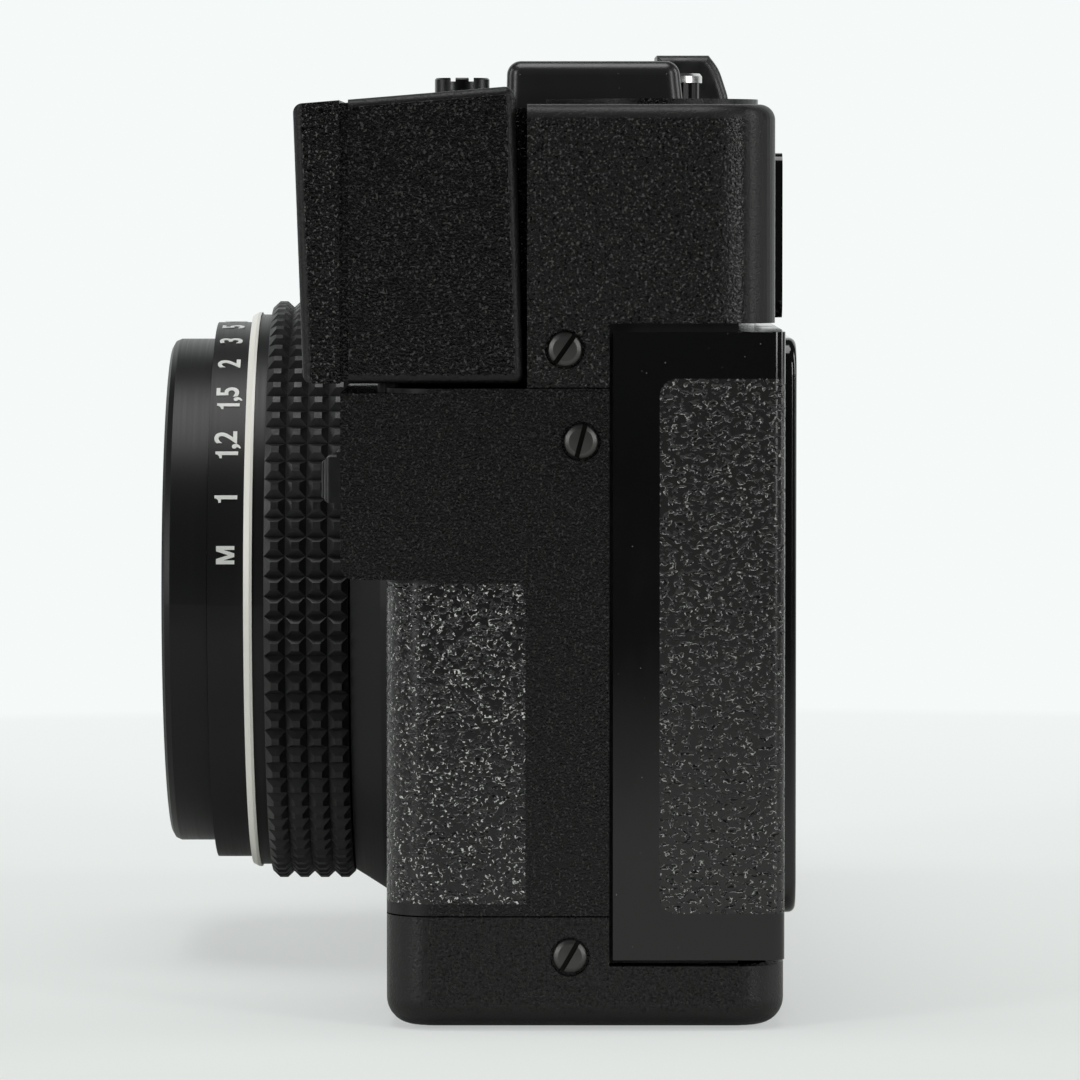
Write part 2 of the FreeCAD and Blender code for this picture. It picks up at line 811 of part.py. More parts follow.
lever = (far + d.lever_inset, -d.lever_forward)
button = (-d.button_offset, -d.button_forward)
hump_far = near - d.hump_near - d.hump_length
dial = (hump_far - d.dial_gap - d.dial_radius, lift(d.dial_back))
counter = (-d.counter_offset, lift(0))
finder_x = hump_far + d.hump_length / 2
finder_z = top - d.finder_drop


def centred(middle, width):
    return (middle - width / 2, middle + width / 2)


def make_top_cover():
    z_span = (d.cover_front_low, top)
    height = (top - d.cover_front_low).value
    depth = (cover_back - front).value
    outer = rounded_block("cover_outer", (far, near), (front, cover_back), z_span, d.corner, front_upright)
    outer = rounded(outer, d.cover_corner, lambda edge: runs(edge, Z_AXIS) and edge.Vertexes[0].Y > depth - 0.01)
    outer = rounded(outer, d.cover_round, lambda edge: min(v.Z for v in edge.Vertexes) > height - 0.01)
    pad = rod("crank_pad", "z", d.pad_radius, (top - 1, pad_top), (cartridge[0], cartridge[1] + d.pad_shift))
    room = rounded_block("cover_room", (inner_far, inner_near), (inner_front, cover_back - d.wall),
                         (d.cover_front_low - 1, cover_roof), inner_corner)
    bay_x = (flash_far - d.slip_gap, near + beyond)
    bay_wall = block("bay_wall", (bay_x[0] - d.wall, near), (front - 1, bay_back + d.wall),
                     (d.cover_front_low - 2, top))
    cavity = cut("cover_cavity", room, bay_wall)
    bay = block("flash_bay", bay_x, (front - beyond, bay_back), (d.cover_front_low - 1, top + beyond))
    rear_step = block("cover_step", (far - 1, near + 1), (step_y, cover_back + 1),
                      (d.cover_front_low - 1, d.cover_rear_low))
    chassis_room = block("chassis_room", (inner_far, inner_near), (inner_front, step_y + 1),
                         (d.cover_front_low - 1, d.cover_rear_low))
    hollow = cut("cover_hollow", fuse("cover_solid", outer, pad), cavity, bay, rear_step, chassis_room)

    boss_top = top - d.wall / 2
    shaft_holes = [
        ("rewind", cartridge, d.shaft_radius, pad_top - d.disc_depth - d.boss_height),
        ("lever", lever, d.lever_shaft_radius, cover_roof - d.boss_height),
        ("button", button, d.button_radius, cover_roof - d.boss_height),
        ("dial", dial, d.spindle_radius, cover_roof - d.boss_height),
    ]
    bosses = []
    holes = []
    for name, centre, radius, low in shaft_holes:
        bosses.append(rod(name + "_boss", "z", radius + d.wall, (low, boss_top), centre))
        holes.append(rod(name + "_hole", "z", radius + d.run_gap, (low - 1, top + beyond), centre))
    crank_floor = pad_top - d.disc_depth - d.run_gap
    bosses.append(rod("crank_cup", "z", d.disc_radius + d.slip_gap + d.wall,
                      (crank_floor - d.wall, boss_top), cartridge))
    holes.append(rod("crank_recess", "z", d.disc_radius + d.slip_gap, (crank_floor, top + beyond), cartridge))
    holes.append(rod("counter_opening", "z", d.counter_window_radius, (cover_roof - 1, top + 1), counter))
    finder_x_span = centred(finder_x, d.finder_width)
    finder_z_span = centred(finder_z, d.finder_tall)
    holes.append(block("finder_pocket", finder_x_span, (front - 1, front + d.glass_sheet), finder_z_span))
    sight = (wide(finder_x_span, -d.wall), wide(finder_z_span, -d.wall))
    holes.append(block("finder_front_hole", sight[0], (front - 1, inner_front + 1), sight[1]))
    eye_x = centred(finder_x, d.eye_width)
    eye_z = centred(finder_z, d.eye_tall)
    holes.append(block("finder_back_hole", eye_x, (cover_back - d.wall - 1, cover_back + 1), eye_z))
    holes.extend(screw_holes("cover", "cover"))
    return node(cut("cover", fuse("cover_with_bosses", hollow, *bosses), *holes), "top_cover")


def make_finder_parts():
    """The raised hump, the front window, the eyepiece frame and its lens."""
    low_y, high_y = -d.hump_front, lift(d.hump_back)
    crown = top + d.hump_rise
    points = [(low_y, top), (high_y, top), (high_y - d.hump_draft, crown), (low_y + d.hump_front_draft, crown)]
    hump = extruded("hump", "YZ_Plane", points, d.hump_length, (hump_far, 0, 0))
    lift_off = top.value + 0.01
    rounded(hump, d.hump_round, lambda edge: max(v.Z for v in edge.Vertexes) > lift_off)
    node(hump, "finder_hump")

    slack = -d.run_gap
    window = rounded_block("window", wide(centred(finder_x, d.finder_width), slack),
                           (front + d.glass_sheet / 4, front + d.glass_sheet),
                           wide(centred(finder_z, d.finder_tall), slack),
                           d.glass_round, lambda edge: runs(edge, Y_AXIS))
    node(window, "finder_window")

    eye_x = centred(finder_x, d.eye_width)
    eye_z = centred(finder_z, d.eye_tall)
    frame_x = centred(finder_x, d.eye_frame_width)
    frame_z = (d.cover_rear_low - d.eye_frame_drop, eye_z[1] + d.eye_frame_over)
    plate = rounded_block("eye_plate", frame_x, (cover_back, cover_back + d.eye_frame_rise), frame_z,
                          d.eye_round, lambda edge: runs(edge, Y_AXIS))
    hole = block("eye_hole", eye_x, (cover_back - 1, cover_back + d.eye_frame_rise + 1), eye_z)
    step = block("eye_step", wide(eye_x, d.eye_step), (cover_back - 1, cover_back + d.glass_sheet),
                 wide(eye_z, d.eye_step))
    node(cut("eye_frame", plate, hole, step), "eyepiece_frame")
    glass = block("eye_glass", wide(eye_x, d.eye_step + slack),
                  (cover_back + d.run_gap, cover_back + d.glass_sheet), wide(eye_z, d.eye_step + slack))
    node(glass, "eyepiece_lens")


# Back door: sheet, end flange, rims, knuckle and raised panel, swinging on the hinge at the far end

door_z = (d.base_rear_height + d.door_low_gap, d.cover_rear_low - d.door_top_gap)
door_inner = back - d.door_sheet
door_front = step_y + d.part_gap
relief = d.chamber_radius + d.run_gap * 3


def back_near_upright(width, depth):
    """Tests for the upright edge at the near rear corner of a piece drawn from its low corner."""
    return lambda edge: runs(edge, Z_AXIS) and edge.Vertexes[0].X > width - 0.01 and edge.Vertexes[0].Y > depth - 0.01


def door_shell_part(name, inset, z):
    """The door's outer form, made smaller by an inset on its end and back."""
    x = (hinge[0] + d.knuckle_radius + d.slip_gap, near - inset)
    y = (door_front - inset * 2, back - inset)
    width = (x[1] - x[0]).value
    depth = (lift(y[1]) - y[0]).value
    return rounded_block(name, x, y, z, d.door_corner - inset, back_near_upright(width, depth))


def make_door_skin():
    z = (door_z[0] + d.door_skin_margin, door_z[1] - d.door_skin_margin)
    shell = cut("door_skin_shell", door_shell_part("door_skin_outer", 0, z),
                door_shell_part("door_skin_inner", d.skin, wide(z, 1)))
    region = rounded_block("door_skin_region", (near - d.door_panel_inset, near + 1),
                           (door_front + d.door_skin_front, back + 1), z, d.door_skin_round,
                           lambda edge: runs(edge, X_AXIS) and edge.Vertexes[0].Y < 0.01)
    return node(common("door_skin_piece", shell, region), "door_skin")


def cartridge_relief(name):
    return rod(name, "z", relief, (d.chamber_low, d.chamber_high), cartridge)


def make_door(skin):
    outer = door_shell_part("door_outer", 0, door_z)
    hollow = block("door_hollow", (far, near - d.door_rim), (door_front - 1, door_inner), wide(door_z, 1))
    rim_x = (hinge[0] + d.rim_start, near - d.door_rim)
    rim_y = (film_y + d.slip_gap, door_inner + d.door_sheet / 2)
    rims = []
    for name, low in (("low", door_z[0]), ("high", door_z[1] - d.door_rim)):
        rims.append(block(f"door_rim_{name}", rim_x, rim_y, (low, low + d.door_rim)))
    knuckle_z = (d.knuckle_low + d.ear_height + d.slip_gap, d.knuckle_high - d.ear_height - d.slip_gap)
    barrel = rod("door_barrel", "z", d.knuckle_radius, knuckle_z, hinge)
    leaf = block("door_leaf", (hinge[0], hinge[0] + d.knuckle_radius * 2),
                 (door_inner, hinge[1] + d.knuckle_radius), knuckle_z)
    catch = block("door_catch", centred(latch_x, d.latch_sheet), (door_inner - d.latch_nose, door_inner + d.door_sheet / 2),
                  (latch_nose_z - d.slip_gap - d.latch_sheet * 2, latch_nose_z - d.slip_gap))
    solid = fuse("door_solid", cut("door_tray", outer, hollow), *rims, barrel, leaf, catch)
    bore = rod("door_bore", "z", d.hinge_radius + d.run_gap, wide(knuckle_z, 1), hinge)
    node(cut("door", solid, bore, skin, cartridge_relief("door_relief")), "back_door")

    panel_z = (door_z[0] + d.door_panel_margin, door_z[1] - d.door_panel_top)
    panel_x = (far + d.door_panel_far, near - d.door_panel_inset)
    panel = rounded_block("panel_block", panel_x, (back, back + d.door_panel_rise), panel_z,
                          d.door_panel_round, lambda edge: runs(edge, Y_AXIS))
    rise = d.door_panel_rise.value
    rounded(panel, d.door_panel_edge, lambda edge: min(v.Y for v in edge.Vertexes) > rise - 0.01)
    node(cut("panel", panel, cartridge_relief("panel_relief")), "door_panel")

    pin = rod("pin", "z", d.hinge_radius, (d.knuckle_low - d.pin_reach, d.knuckle_high + d.pin_reach), hinge)
    node(pin, "hinge_pin")

    seal_x = (hinge[0] + d.rim_start, near - d.door_panel_inset)
    seals = []
    for name, low in (("low", door_z[0] + d.door_rim), ("high", door_z[1] - d.door_rim - d.seal_size)):
        seals.append(block(f"seal_{name}", seal_x, (door_inner - d.seal_size, door_inner), (low, low + d.seal_size)))
    node(cut("seals", group("seal_set", *seals), cartridge_relief("seal_relief")), "light_seals")


latch_x = inner_near - d.latch_sheet / 2 - d.run_gap
latch_nose_z = d.lens_height


def make_pressure_parts():
    """The plate that holds the film flat, and the bowed leaf spring behind it."""
    plate_y = film_y + d.rail_height + d.slip_gap
    half = d.pressure_height / 2
    plate = rounded_block("plate", centred(lift(0), d.pressure_width), (plate_y, plate_y + d.pressure_sheet),
                          (d.lens_height - half, d.lens_height + half), d.plate_round,
                          lambda edge: runs(edge, Y_AXIS))
    node(plate, "pressure_plate")
    end_y = plate_y + d.pressure_sheet + d.pressure_lift + d.run_gap
    reach = d.pressure_width / 2 - d.plate_round * 2
    leaf = d.spring_sheet
    flat = d.spring_flat
    points = [(-reach, end_y), (-flat, door_inner - leaf), (flat, door_inner - leaf), (reach, end_y),
              (reach, end_y + leaf), (flat, door_inner), (-flat, door_inner), (-reach, end_y + leaf)]
    strip = extruded("strip", "XY_Plane", points, d.spring_width,
                     (0, 0, d.lens_height - d.spring_width / 2))
    node(strip, "pressure_spring")


def make_latch():
    """The bar that the rewind shaft lifts to free the door."""
    z = (latch_nose_z - d.latch_length, latch_nose_z + d.latch_length)
    x = centred(latch_x, d.latch_sheet)
    bar = block("latch_bar", x, (film_y - d.latch_width - 1, film_y - 1), z)
    nose = block("latch_nose", x, (film_y - 1.5, door_inner - d.slip_gap),
                 (latch_nose_z, latch_nose_z + d.latch_sheet * 2))
    return node(fuse("latch", bar, nose), "door_latch")


def latch_groove():
    travel = d.latch_travel + d.slip_gap
    z = (latch_nose_z - d.latch_length - d.slip_gap, latch_nose_z + d.latch_length + travel)
    x = (latch_x - d.latch_sheet / 2 - d.run_gap, near)
    return [
        block("latch_groove", x, (film_y - d.latch_width - 1 - d.run_gap, film_y - 1 + d.run_gap), z),
        block("latch_gate", x, (film_y - 2, film_y + 1),
              (latch_nose_z - d.slip_gap, latch_nose_z + d.latch_sheet * 2 + travel)),
    ]


# Flash: housing and bezel with the window, reflector and tube, on two guide posts

flash_x = (flash_far, near)
flash_y = -d.flash_front
bezel_back = flash_y + d.bezel_depth
neck_back = bezel_back + d.flash_neck
flash_rear = -d.flash_back
flash_slope = (d.flash_high_back - d.flash_high_front) / (d.flash_front - d.flash_back)
flash_z = (d.flash_low + d.flash_high_front) / 2


def flash_top(y):
    return d.flash_high_front + flash_slope * (y - flash_y)


def make_flash():
    rear_top = flash_rear - d.flash_tilt
    points = [(neck_back, d.flash_low), (flash_rear, d.flash_low), (rear_top, flash_top(rear_top)),
              (neck_back, flash_top(neck_back))]
    housing = extruded("flash_block", "YZ_Plane", points, d.flash_width, (flash_far, 0, 0))
    rounded(housing, d.flash_round, lambda edge: edge.Vertexes[0].Y > neck_back.value + 0.1
            or edge.Vertexes[-1].Y > neck_back.value + 0.1)
    inset = d.flash_inset
    neck_points = [(bezel_back, d.flash_low + inset), (neck_back, d.flash_low + inset),
                   (neck_back, flash_top(neck_back) - inset), (bezel_back, flash_top(bezel_back) - inset)]
    neck = extruded("flash_neck", "YZ_Plane", neck_points, d.flash_width - inset, (flash_far, 0, 0))
    wall = d.wall
    lamp_x = (flash_far + wall, near - wall)
    room = block("flash_room", lamp_x, (bezel_back - 1, flash_rear - d.flash_tilt - wall),
                 (d.flash_low + wall, d.flash_high_front - wall))
    node(cut("flash_case", fuse("flash_case_solid", housing, neck), room), "flash_housing")

    bezel_points = [(flash_y + d.flash_tilt, d.flash_low), (bezel_back, d.flash_low),
                    (bezel_back, flash_top(bezel_back)), (flash_y, d.flash_high_front)]
    bezel = extruded("bezel_block", "YZ_Plane", bezel_points, d.flash_width, (flash_far, 0, 0))
    rounded(bezel, d.flash_round, lambda edge: min(v.Y for v in edge.Vertexes) < bezel_back.value - 0.1
            and abs(edge.tangentAt(edge.FirstParameter).dot(Y_AXIS)) < 0.99)
    window_x = (flash_far + d.window_margin, near - d.window_margin)
    window_z = centred(flash_z, d.window_tall)
    pane_y = (flash_y + d.flash_tilt + d.window_inset, flash_y + d.flash_tilt + d.window_inset + d.glass_sheet)
    pocket = block("window_pocket", window_x, (flash_y - 1, pane_y[1]), window_z)
    light_hole = block("light_hole", wide(window_x, -d.glass_sheet), (flash_y - 1, bezel_back + 1),
                       wide(window_z, -d.glass_sheet))
    node(cut("bezel", bezel, pocket, light_hole), "flash_bezel")
    pane = rounded_block("pane", wide(window_x, -d.run_gap), pane_y, wide(window_z, -d.run_gap),
                         d.glass_round, lambda edge: runs(edge, Y_AXIS))
    node(pane, "flash_window")

    mouth = d.window_tall / 2 - d.glass_sheet * 1.5
    waist = mouth * 0.72
    heel = mouth * 0.3
    deep = bezel_back + d.reflector_depth
    middle = bezel_back + d.reflector_depth * 0.6
    sheet_ = d.reflector_sheet
    profile = [(pane_y[1] + sheet_, -mouth), (middle, -waist), (deep, -heel), (deep, heel),
               (middle, waist), (pane_y[1] + sheet_, mouth)]
    inner = [(y, z * (1 - 0.07)) for y, z in profile]
    inner[2] = (deep - sheet_, -heel * 0.8)
    inner[3] = (deep - sheet_, heel * 0.8)
    lifted = [(y, flash_z + z) for y, z in profile + inner[::-1]]
    reflector_x = (window_x[0] + d.glass_sheet * 1.5, window_x[1] - d.glass_sheet * 1.5)
    reflector = extruded("reflector", "YZ_Plane", lifted, reflector_x[1] - reflector_x[0], (reflector_x[0], 0, 0))
    arm = block("reflector_arm", lamp_x, (deep, deep + sheet_ * 2), centred(flash_z, heel * 2))
    node(fuse("reflector_on_arm", reflector, arm), "flash_reflector")
    node(rod("tube", "x", d.tube_radius, lamp_x, (deep - d.tube_radius * 2, flash_z)), "flash_tube")

    posts = []
    for index, centre in enumerate(post_spots):
        posts.append(rod(f"post_{index}", "z", d.post_radius, (d.bump_low + d.wall + d.slip_gap, d.flash_low), centre))
    node(group("post_pair", *posts), "flash_posts")


def make_flash_release():
    """The slider on the bump's front that lets the flash spring up."""
    face = front - d.bump_rise
    step = d.slider_rise * 0.3
    x = centred(slider_x, d.slider_width)
    z = centred(slider_z, d.slider_tall)
    cap = rounded_block("slider_cap", x, (face - d.slider_rise, face - step), z, d.slider_round,
                        lambda edge: edge.Vertexes[0].Y < 0.01 and edge.Vertexes[-1].Y < 0.01)
    foot = block("slider_foot", wide(x, step), (face - step, face - d.run_gap), wide(z, step))
    stem = block("slider_stem", centred(slider_x, d.slider_stem), (face - step, face + d.wall + step * 2),
                 centred(slider_z, d.slider_stem))
    keeper = block("slider_keeper", centred(slider_x, d.slider_stem * 2),
                   (face + d.wall + d.run_gap, face + d.wall + step * 2), centred(slider_z, d.slider_stem * 2))
    node(fuse("release", cap, foot, stem, keeper), "flash_release")


# Lens: fixed flange and barrel, the turning focus rings, and the unit that they move
sleeve_radius = d.throat_radius + d.run_gap + d.sleeve_wall


def lens_block(name, radius, low, high, curve):
    """A glass disc whose front face is part of a sphere."""
    disc = rod(name + "_disc", "y", radius, (front - high, front - low), (0, d.lens_height))
    ball = doc.addObject("Part::Sphere", name + "_ball")
    bind(ball, "Radius", curve)
    place(ball, 0, front - high + curve, d.lens_height)
    return common(name, disc, ball)


def star_prism(name, radius, depth, count, length, flat_share):
    """A toothed prism along Z: flat-topped teeth with V-shaped grooves between them."""
    pitch = 2 * math.pi / count
    points = []
    for tooth in range(count):
        for share, reach in ((-flat_share / 2, radius), (flat_share / 2, radius), (0.5, radius - depth)):
            angle = pitch * (tooth + share)
            points.append(FreeCAD.Vector(reach * math.cos(angle), reach * math.sin(angle), 0))
    points.append(points[0])
    prism = Part.Face(Part.makePolygon(points)).extrude(FreeCAD.Vector(0, 0, length))
    feature = doc.addObject("Part::Feature", name)
    feature.Shape = prism
    return feature


def waffle_drum(name, radius, depth, teeth, rows, length, flat_share):
    """A drum along Z, covered in rows of blunt four-sided pyramids."""
    half_turn = math.pi / teeth
    row = length / rows
    floor = radius - depth
    margin = row * (1 - flat_share) / 2

    def ring_point(reach, turn, height):
        return FreeCAD.Vector(reach * math.cos(turn), reach * math.sin(turn), height)

    def rectangle(reach, turn, half_width, low, high):
        corners = ((-half_width, low), (half_width, low), (half_width, high), (-half_width, high))
        return [ring_point(reach, turn + shift, height) for shift, height in corners]

    faces = []
    for tooth in range(teeth):
        turn = 2 * half_turn * tooth
        for index in range(rows):
            low = row * index
            base = rectangle(floor, turn, half_turn, low, low + row)
            crest = rectangle(radius, turn, half_turn * flat_share, low + margin, low + row - margin)
            outlines = [crest]
            for side in range(4):
                follow = (side + 1) % 4
                outlines.append([base[side], base[follow], crest[follow], crest[side]])
            faces.extend(Part.Face(Part.makePolygon(corners + corners[:1])) for corners in outlines)
    for height in (0, length):
        ring = [ring_point(floor, half_turn * (2 * tooth + 1), height) for tooth in range(teeth)]
        faces.append(Part.Face(Part.makePolygon(ring + ring[:1])))
    skin = Part.Shell(faces)
    skin.sewShape()
    feature = doc.addObject("Part::Feature", name)
    feature.Shape = Part.Solid(skin)
    return feature


def make_focus_grip():
    low, high = d.grip_low, d.grip_high
    radius = sleeve_radius + d.grip_thick
    drum = waffle_drum("grip_drum", radius.value, d.grip_groove.value, int(round(d.grip_teeth.value)),
                       int(round(d.grip_rows.value)), (high - low).value, d.grip_flat.value)
    place(drum, 0, front - low, d.lens_height, FORWARD)
    bore = rod("grip_bore", "y", sleeve_radius, (front - high - 1, front - low + 1), (0, d.lens_height))
    node(cut("grip", drum, bore), "focus_grip")


def make_lens_rings():
    barrel_in = d.throat_radius - d.barrel_wall
    node(turned("flange", [(barrel_in, 0), (d.flange_radius, 0), (d.flange_radius - 0.4, 1.3),
                           (d.flange_neck_radius, d.flange_length), (d.throat_radius, d.flange_length),
                           (d.throat_radius, d.barrel_length), (barrel_in, d.barrel_length)]), "lens_flange")
    ride = d.throat_radius + d.run_gap
    ledge_out, scale_out = sleeve_radius + d.collar_step, sleeve_radius + d.scale_step
    white_out = sleeve_radius + d.white_step
    node(turned("scale", [(ride, d.grip_low), (sleeve_radius, d.grip_low), (sleeve_radius, d.grip_high),
                          (ledge_out, d.grip_high), (ledge_out, d.white_low),
                          (sleeve_radius, d.white_low), (sleeve_radius, d.white_high),
                          (scale_out, d.white_high), (scale_out, d.scale_high),
                          (ride, d.scale_high)]), "distance_ring")
    bevel = (d.white_high - d.white_low) / 3
    node(turned("white", [(sleeve_radius, d.white_low), (white_out, d.white_low),
                          (white_out, d.white_low + bevel), (white_out - bevel, d.white_high),
                          (sleeve_radius, d.white_high)]), "white_ring")
    unit_out = barrel_in - d.run_gap
    unit_in = unit_out - d.barrel_wall
    rear = d.scale_high + d.run_gap * 2
    shoulder = d.front_high - d.thread_length
    rim = d.front_radius - d.thread_radius
    trim_out = d.thread_radius - d.trim_ledge
    node(turned("front_band", [(unit_in, d.unit_low), (unit_out, d.unit_low), (unit_out, rear),
                               (d.front_radius, rear), (d.front_radius, d.front_high - rim * 0.7),
                               (d.front_radius - rim * 0.2, d.front_high - rim * 0.25),
                               (d.front_radius - rim * 0.65, d.front_high),
                               (d.thread_radius, d.front_high - rim * 0.1),
                               (d.thread_radius, shoulder + d.trim_step),
                               (trim_out + d.run_gap, shoulder + d.trim_step),
                               (trim_out + d.run_gap, shoulder), (unit_in, shoulder)]), "front_ring")
    seat = d.cell_radius + d.run_gap
    step = d.trim_step
    node(cut("trim", turned("trim_blank", [
        (seat, shoulder - step * 3), (d.trim_mid, shoulder - step * 2), (unit_in - step, shoulder - step),
        (unit_in - step, shoulder), (trim_out, shoulder),
        (trim_out, shoulder + step * 0.6), (unit_in - step, shoulder + step * 0.6),
        (unit_in - step * 1.6, shoulder - step * 0.4), (d.trim_mid + step, shoulder - step * 0.4),
        (d.trim_mid, shoulder - step), (seat, shoulder - step * 2)]),
        rod("meter_pocket", "y", d.meter_radius, (front - shoulder - 2, front - shoulder + step * 0.9),
            (0, d.lens_height + d.meter_offset))), "trim_ring")
    node(rod("meter_glass", "y", d.meter_radius, (front - shoulder + step * 0.5, front - shoulder + step * 0.9),
             (0, d.lens_height + d.meter_offset)), "meter_window")


def make_lens_unit():
    barrel_in = d.throat_radius - d.barrel_wall
    unit_in = barrel_in - d.run_gap - d.barrel_wall
    low = d.shutter_low
    cover = low + d.shutter_sheet + d.shutter_room
    web = d.unit_low + d.shutter_sheet
    node(turned("cell", [(d.glass_radius, cover + d.shutter_sheet), (d.aperture_radius, cover + d.shutter_sheet),
                         (d.aperture_radius, cover), (d.shutter_radius, cover),
                         (d.shutter_radius, cover + d.shutter_sheet), (d.cell_radius, cover + d.shutter_sheet),
                         (d.cell_radius, d.unit_low), (unit_in, d.unit_low), (unit_in, web),
                         (d.cell_radius, web), (d.cell_radius, d.cell_high), (d.glass_radius, d.cell_high)]),
         "lens_cell")
    node(lens_block("front_glass", d.glass_radius, d.cell_high - d.front_glass_thick, d.cell_high - d.glass_sheet / 2,
                    d.front_glass_curve), "front_element")
    node(lens_block("rear_glass", d.aperture_radius, low - d.rear_length + d.glass_sheet / 2,
                    low - d.rear_length + d.front_glass_thick, d.front_glass_curve), "rear_element")
    node(turned("rear_tube", [(d.aperture_radius, low - d.rear_length), (d.aperture_radius + d.wall, low - d.rear_length),
                              (d.aperture_radius + d.wall, low - d.shutter_sheet),
                              (d.aperture_radius + d.wall * 2, low - d.shutter_sheet),
                              (d.aperture_radius + d.wall * 2, low), (d.aperture_radius, low)]), "rear_cell")
    floor = low + d.shutter_sheet
    case = turned("shutter_case", [(d.aperture_radius, low), (d.shutter_radius, low), (d.shutter_radius, cover),
                                   (d.shutter_radius - d.shutter_sheet, cover),
                                   (d.shutter_radius - d.shutter_sheet, floor), (d.aperture_radius, floor)])
    pins = []
    layer = d.shutter_room / 5
    for name, sign, step in (("upper", 1, 1), ("lower", -1, 3)):
        pivot = (d.blade_pivot_x, d.lens_height + sign * d.blade_pivot_z)
        pins.append(rod(f"pin_{name}", "y", d.blade_pin, (front - cover, front - floor), pivot))
        z = ordered(d.lens_height - sign * d.blade_overlap, d.lens_height + sign * d.blade_width)
        sheet_y = (front - floor - layer * (step + 0.8), front - floor - layer * step)
        blade = rounded_block(f"blade_{name}_sheet", (-d.blade_reach, d.blade_pivot_x + d.blade_pin * 2), sheet_y, z,
                              d.blade_pin, lambda edge: runs(edge, Y_AXIS))
        bore = rod(f"blade_{name}_bore", "y", d.blade_pin + d.run_gap, wide(sheet_y, 1), pivot)
        node(cut(f"blade_{name}", blade, bore), f"shutter_blade_{name}")
    node(fuse("shutter_case_pins", case, *pins), "shutter_plate")


# Rewind: a shaft with a fork, a disc sunk in the top pad, a folding crank arm and its knob

def make_rewind():
    x, y = cartridge
    disc_low = pad_top - d.disc_depth
    fork_low = d.chamber_high - d.rewind_travel - d.slip_gap * 2
    shaft = rod("rewind_rod", "z", d.shaft_radius, (fork_low, disc_low), cartridge)
    clip_high = disc_low - d.boss_height - d.rewind_travel - d.slip_gap
    clip_z = (clip_high - d.clip_sheet, clip_high)
    groove_radius = d.shaft_radius - d.clip_groove
    groove = tube("clip_groove", groove_radius, d.shaft_radius + 1, *wide(clip_z, d.run_gap), (x, y, 0), UPRIGHT)
    fork_gap = block("fork_gap", centred(x, d.fork_width), (y - d.shaft_radius * 2, y + d.shaft_radius * 2),
                     (fork_low - 1, fork_low + d.fork_depth))
    node(cut("rewind_fork", shaft, fork_gap, groove), "rewind_shaft")
    node(tube("clip", groove_radius + d.run_gap, d.shaft_radius + d.clip_rim, *clip_z, (x, y, 0), UPRIGHT),
         "shaft_clip")

    arm_top = pad_top - d.seam
    arm_low = arm_top - d.arm_thickness
    pivot_y = y - d.arm_pivot
    pivot_z = (arm_top + arm_low) / 2
    knob_y = y + d.knob_offset
    knob_low = arm_low - d.knob_height
    disc = rod("crank_disc", "z", d.disc_radius, (disc_low, pad_top), cartridge)
    slot = block("arm_slot", centred(x, d.arm_width + d.slip_gap),
                 (pivot_y - d.arm_end - d.slip_gap, y + d.disc_radius + 1),
                 (pivot_z - d.arm_end - d.slip_gap, pad_top + 1))
    well = rod("knob_well", "z", d.knob_radius + d.slip_gap, (knob_low - d.slip_gap, pad_top), (x, knob_y))
    pin_x = centred(x, d.arm_width + d.wall * 2)
    pin_hole = rod("arm_pin_hole", "x", d.arm_pin + d.run_gap, wide(pin_x, d.slip_gap), (pivot_y, pivot_z))
    node(cut("disc", disc, slot, well, pin_hole), "rewind_disc")

    arm = rounded_block("arm_blade", centred(x, d.arm_width), (pivot_y - d.arm_end, knob_y + d.knob_radius * 0.9),
                        (arm_low, arm_top), d.arm_end, lambda edge: runs(edge, Z_AXIS) and edge.Vertexes[0].Y > 1)
    pin = rod("arm_pin", "x", d.arm_pin, pin_x, (pivot_y, pivot_z))
    rivet_hole = rod("rivet_hole", "z", d.rivet_radius + d.run_gap, (arm_low - 1, arm_top + 1), (x, knob_y))
    node(cut("arm", fuse("arm_with_pin", arm, pin), rivet_hole), "crank_arm")
    node(turned("knob", [(0, 0), (d.knob_radius, 0), (d.knob_radius, d.knob_height - d.run_gap),
                         (d.rivet_radius, d.knob_height - d.run_gap),
                         (d.rivet_radius, d.knob_height + d.arm_thickness - d.run_gap),
                         (0, d.knob_height + d.arm_thickness - d.run_gap)], (x, knob_y, knob_low), UPRIGHT),
         "crank_knob")


# Film advance lever, frame counter, shutter button and the capped dial

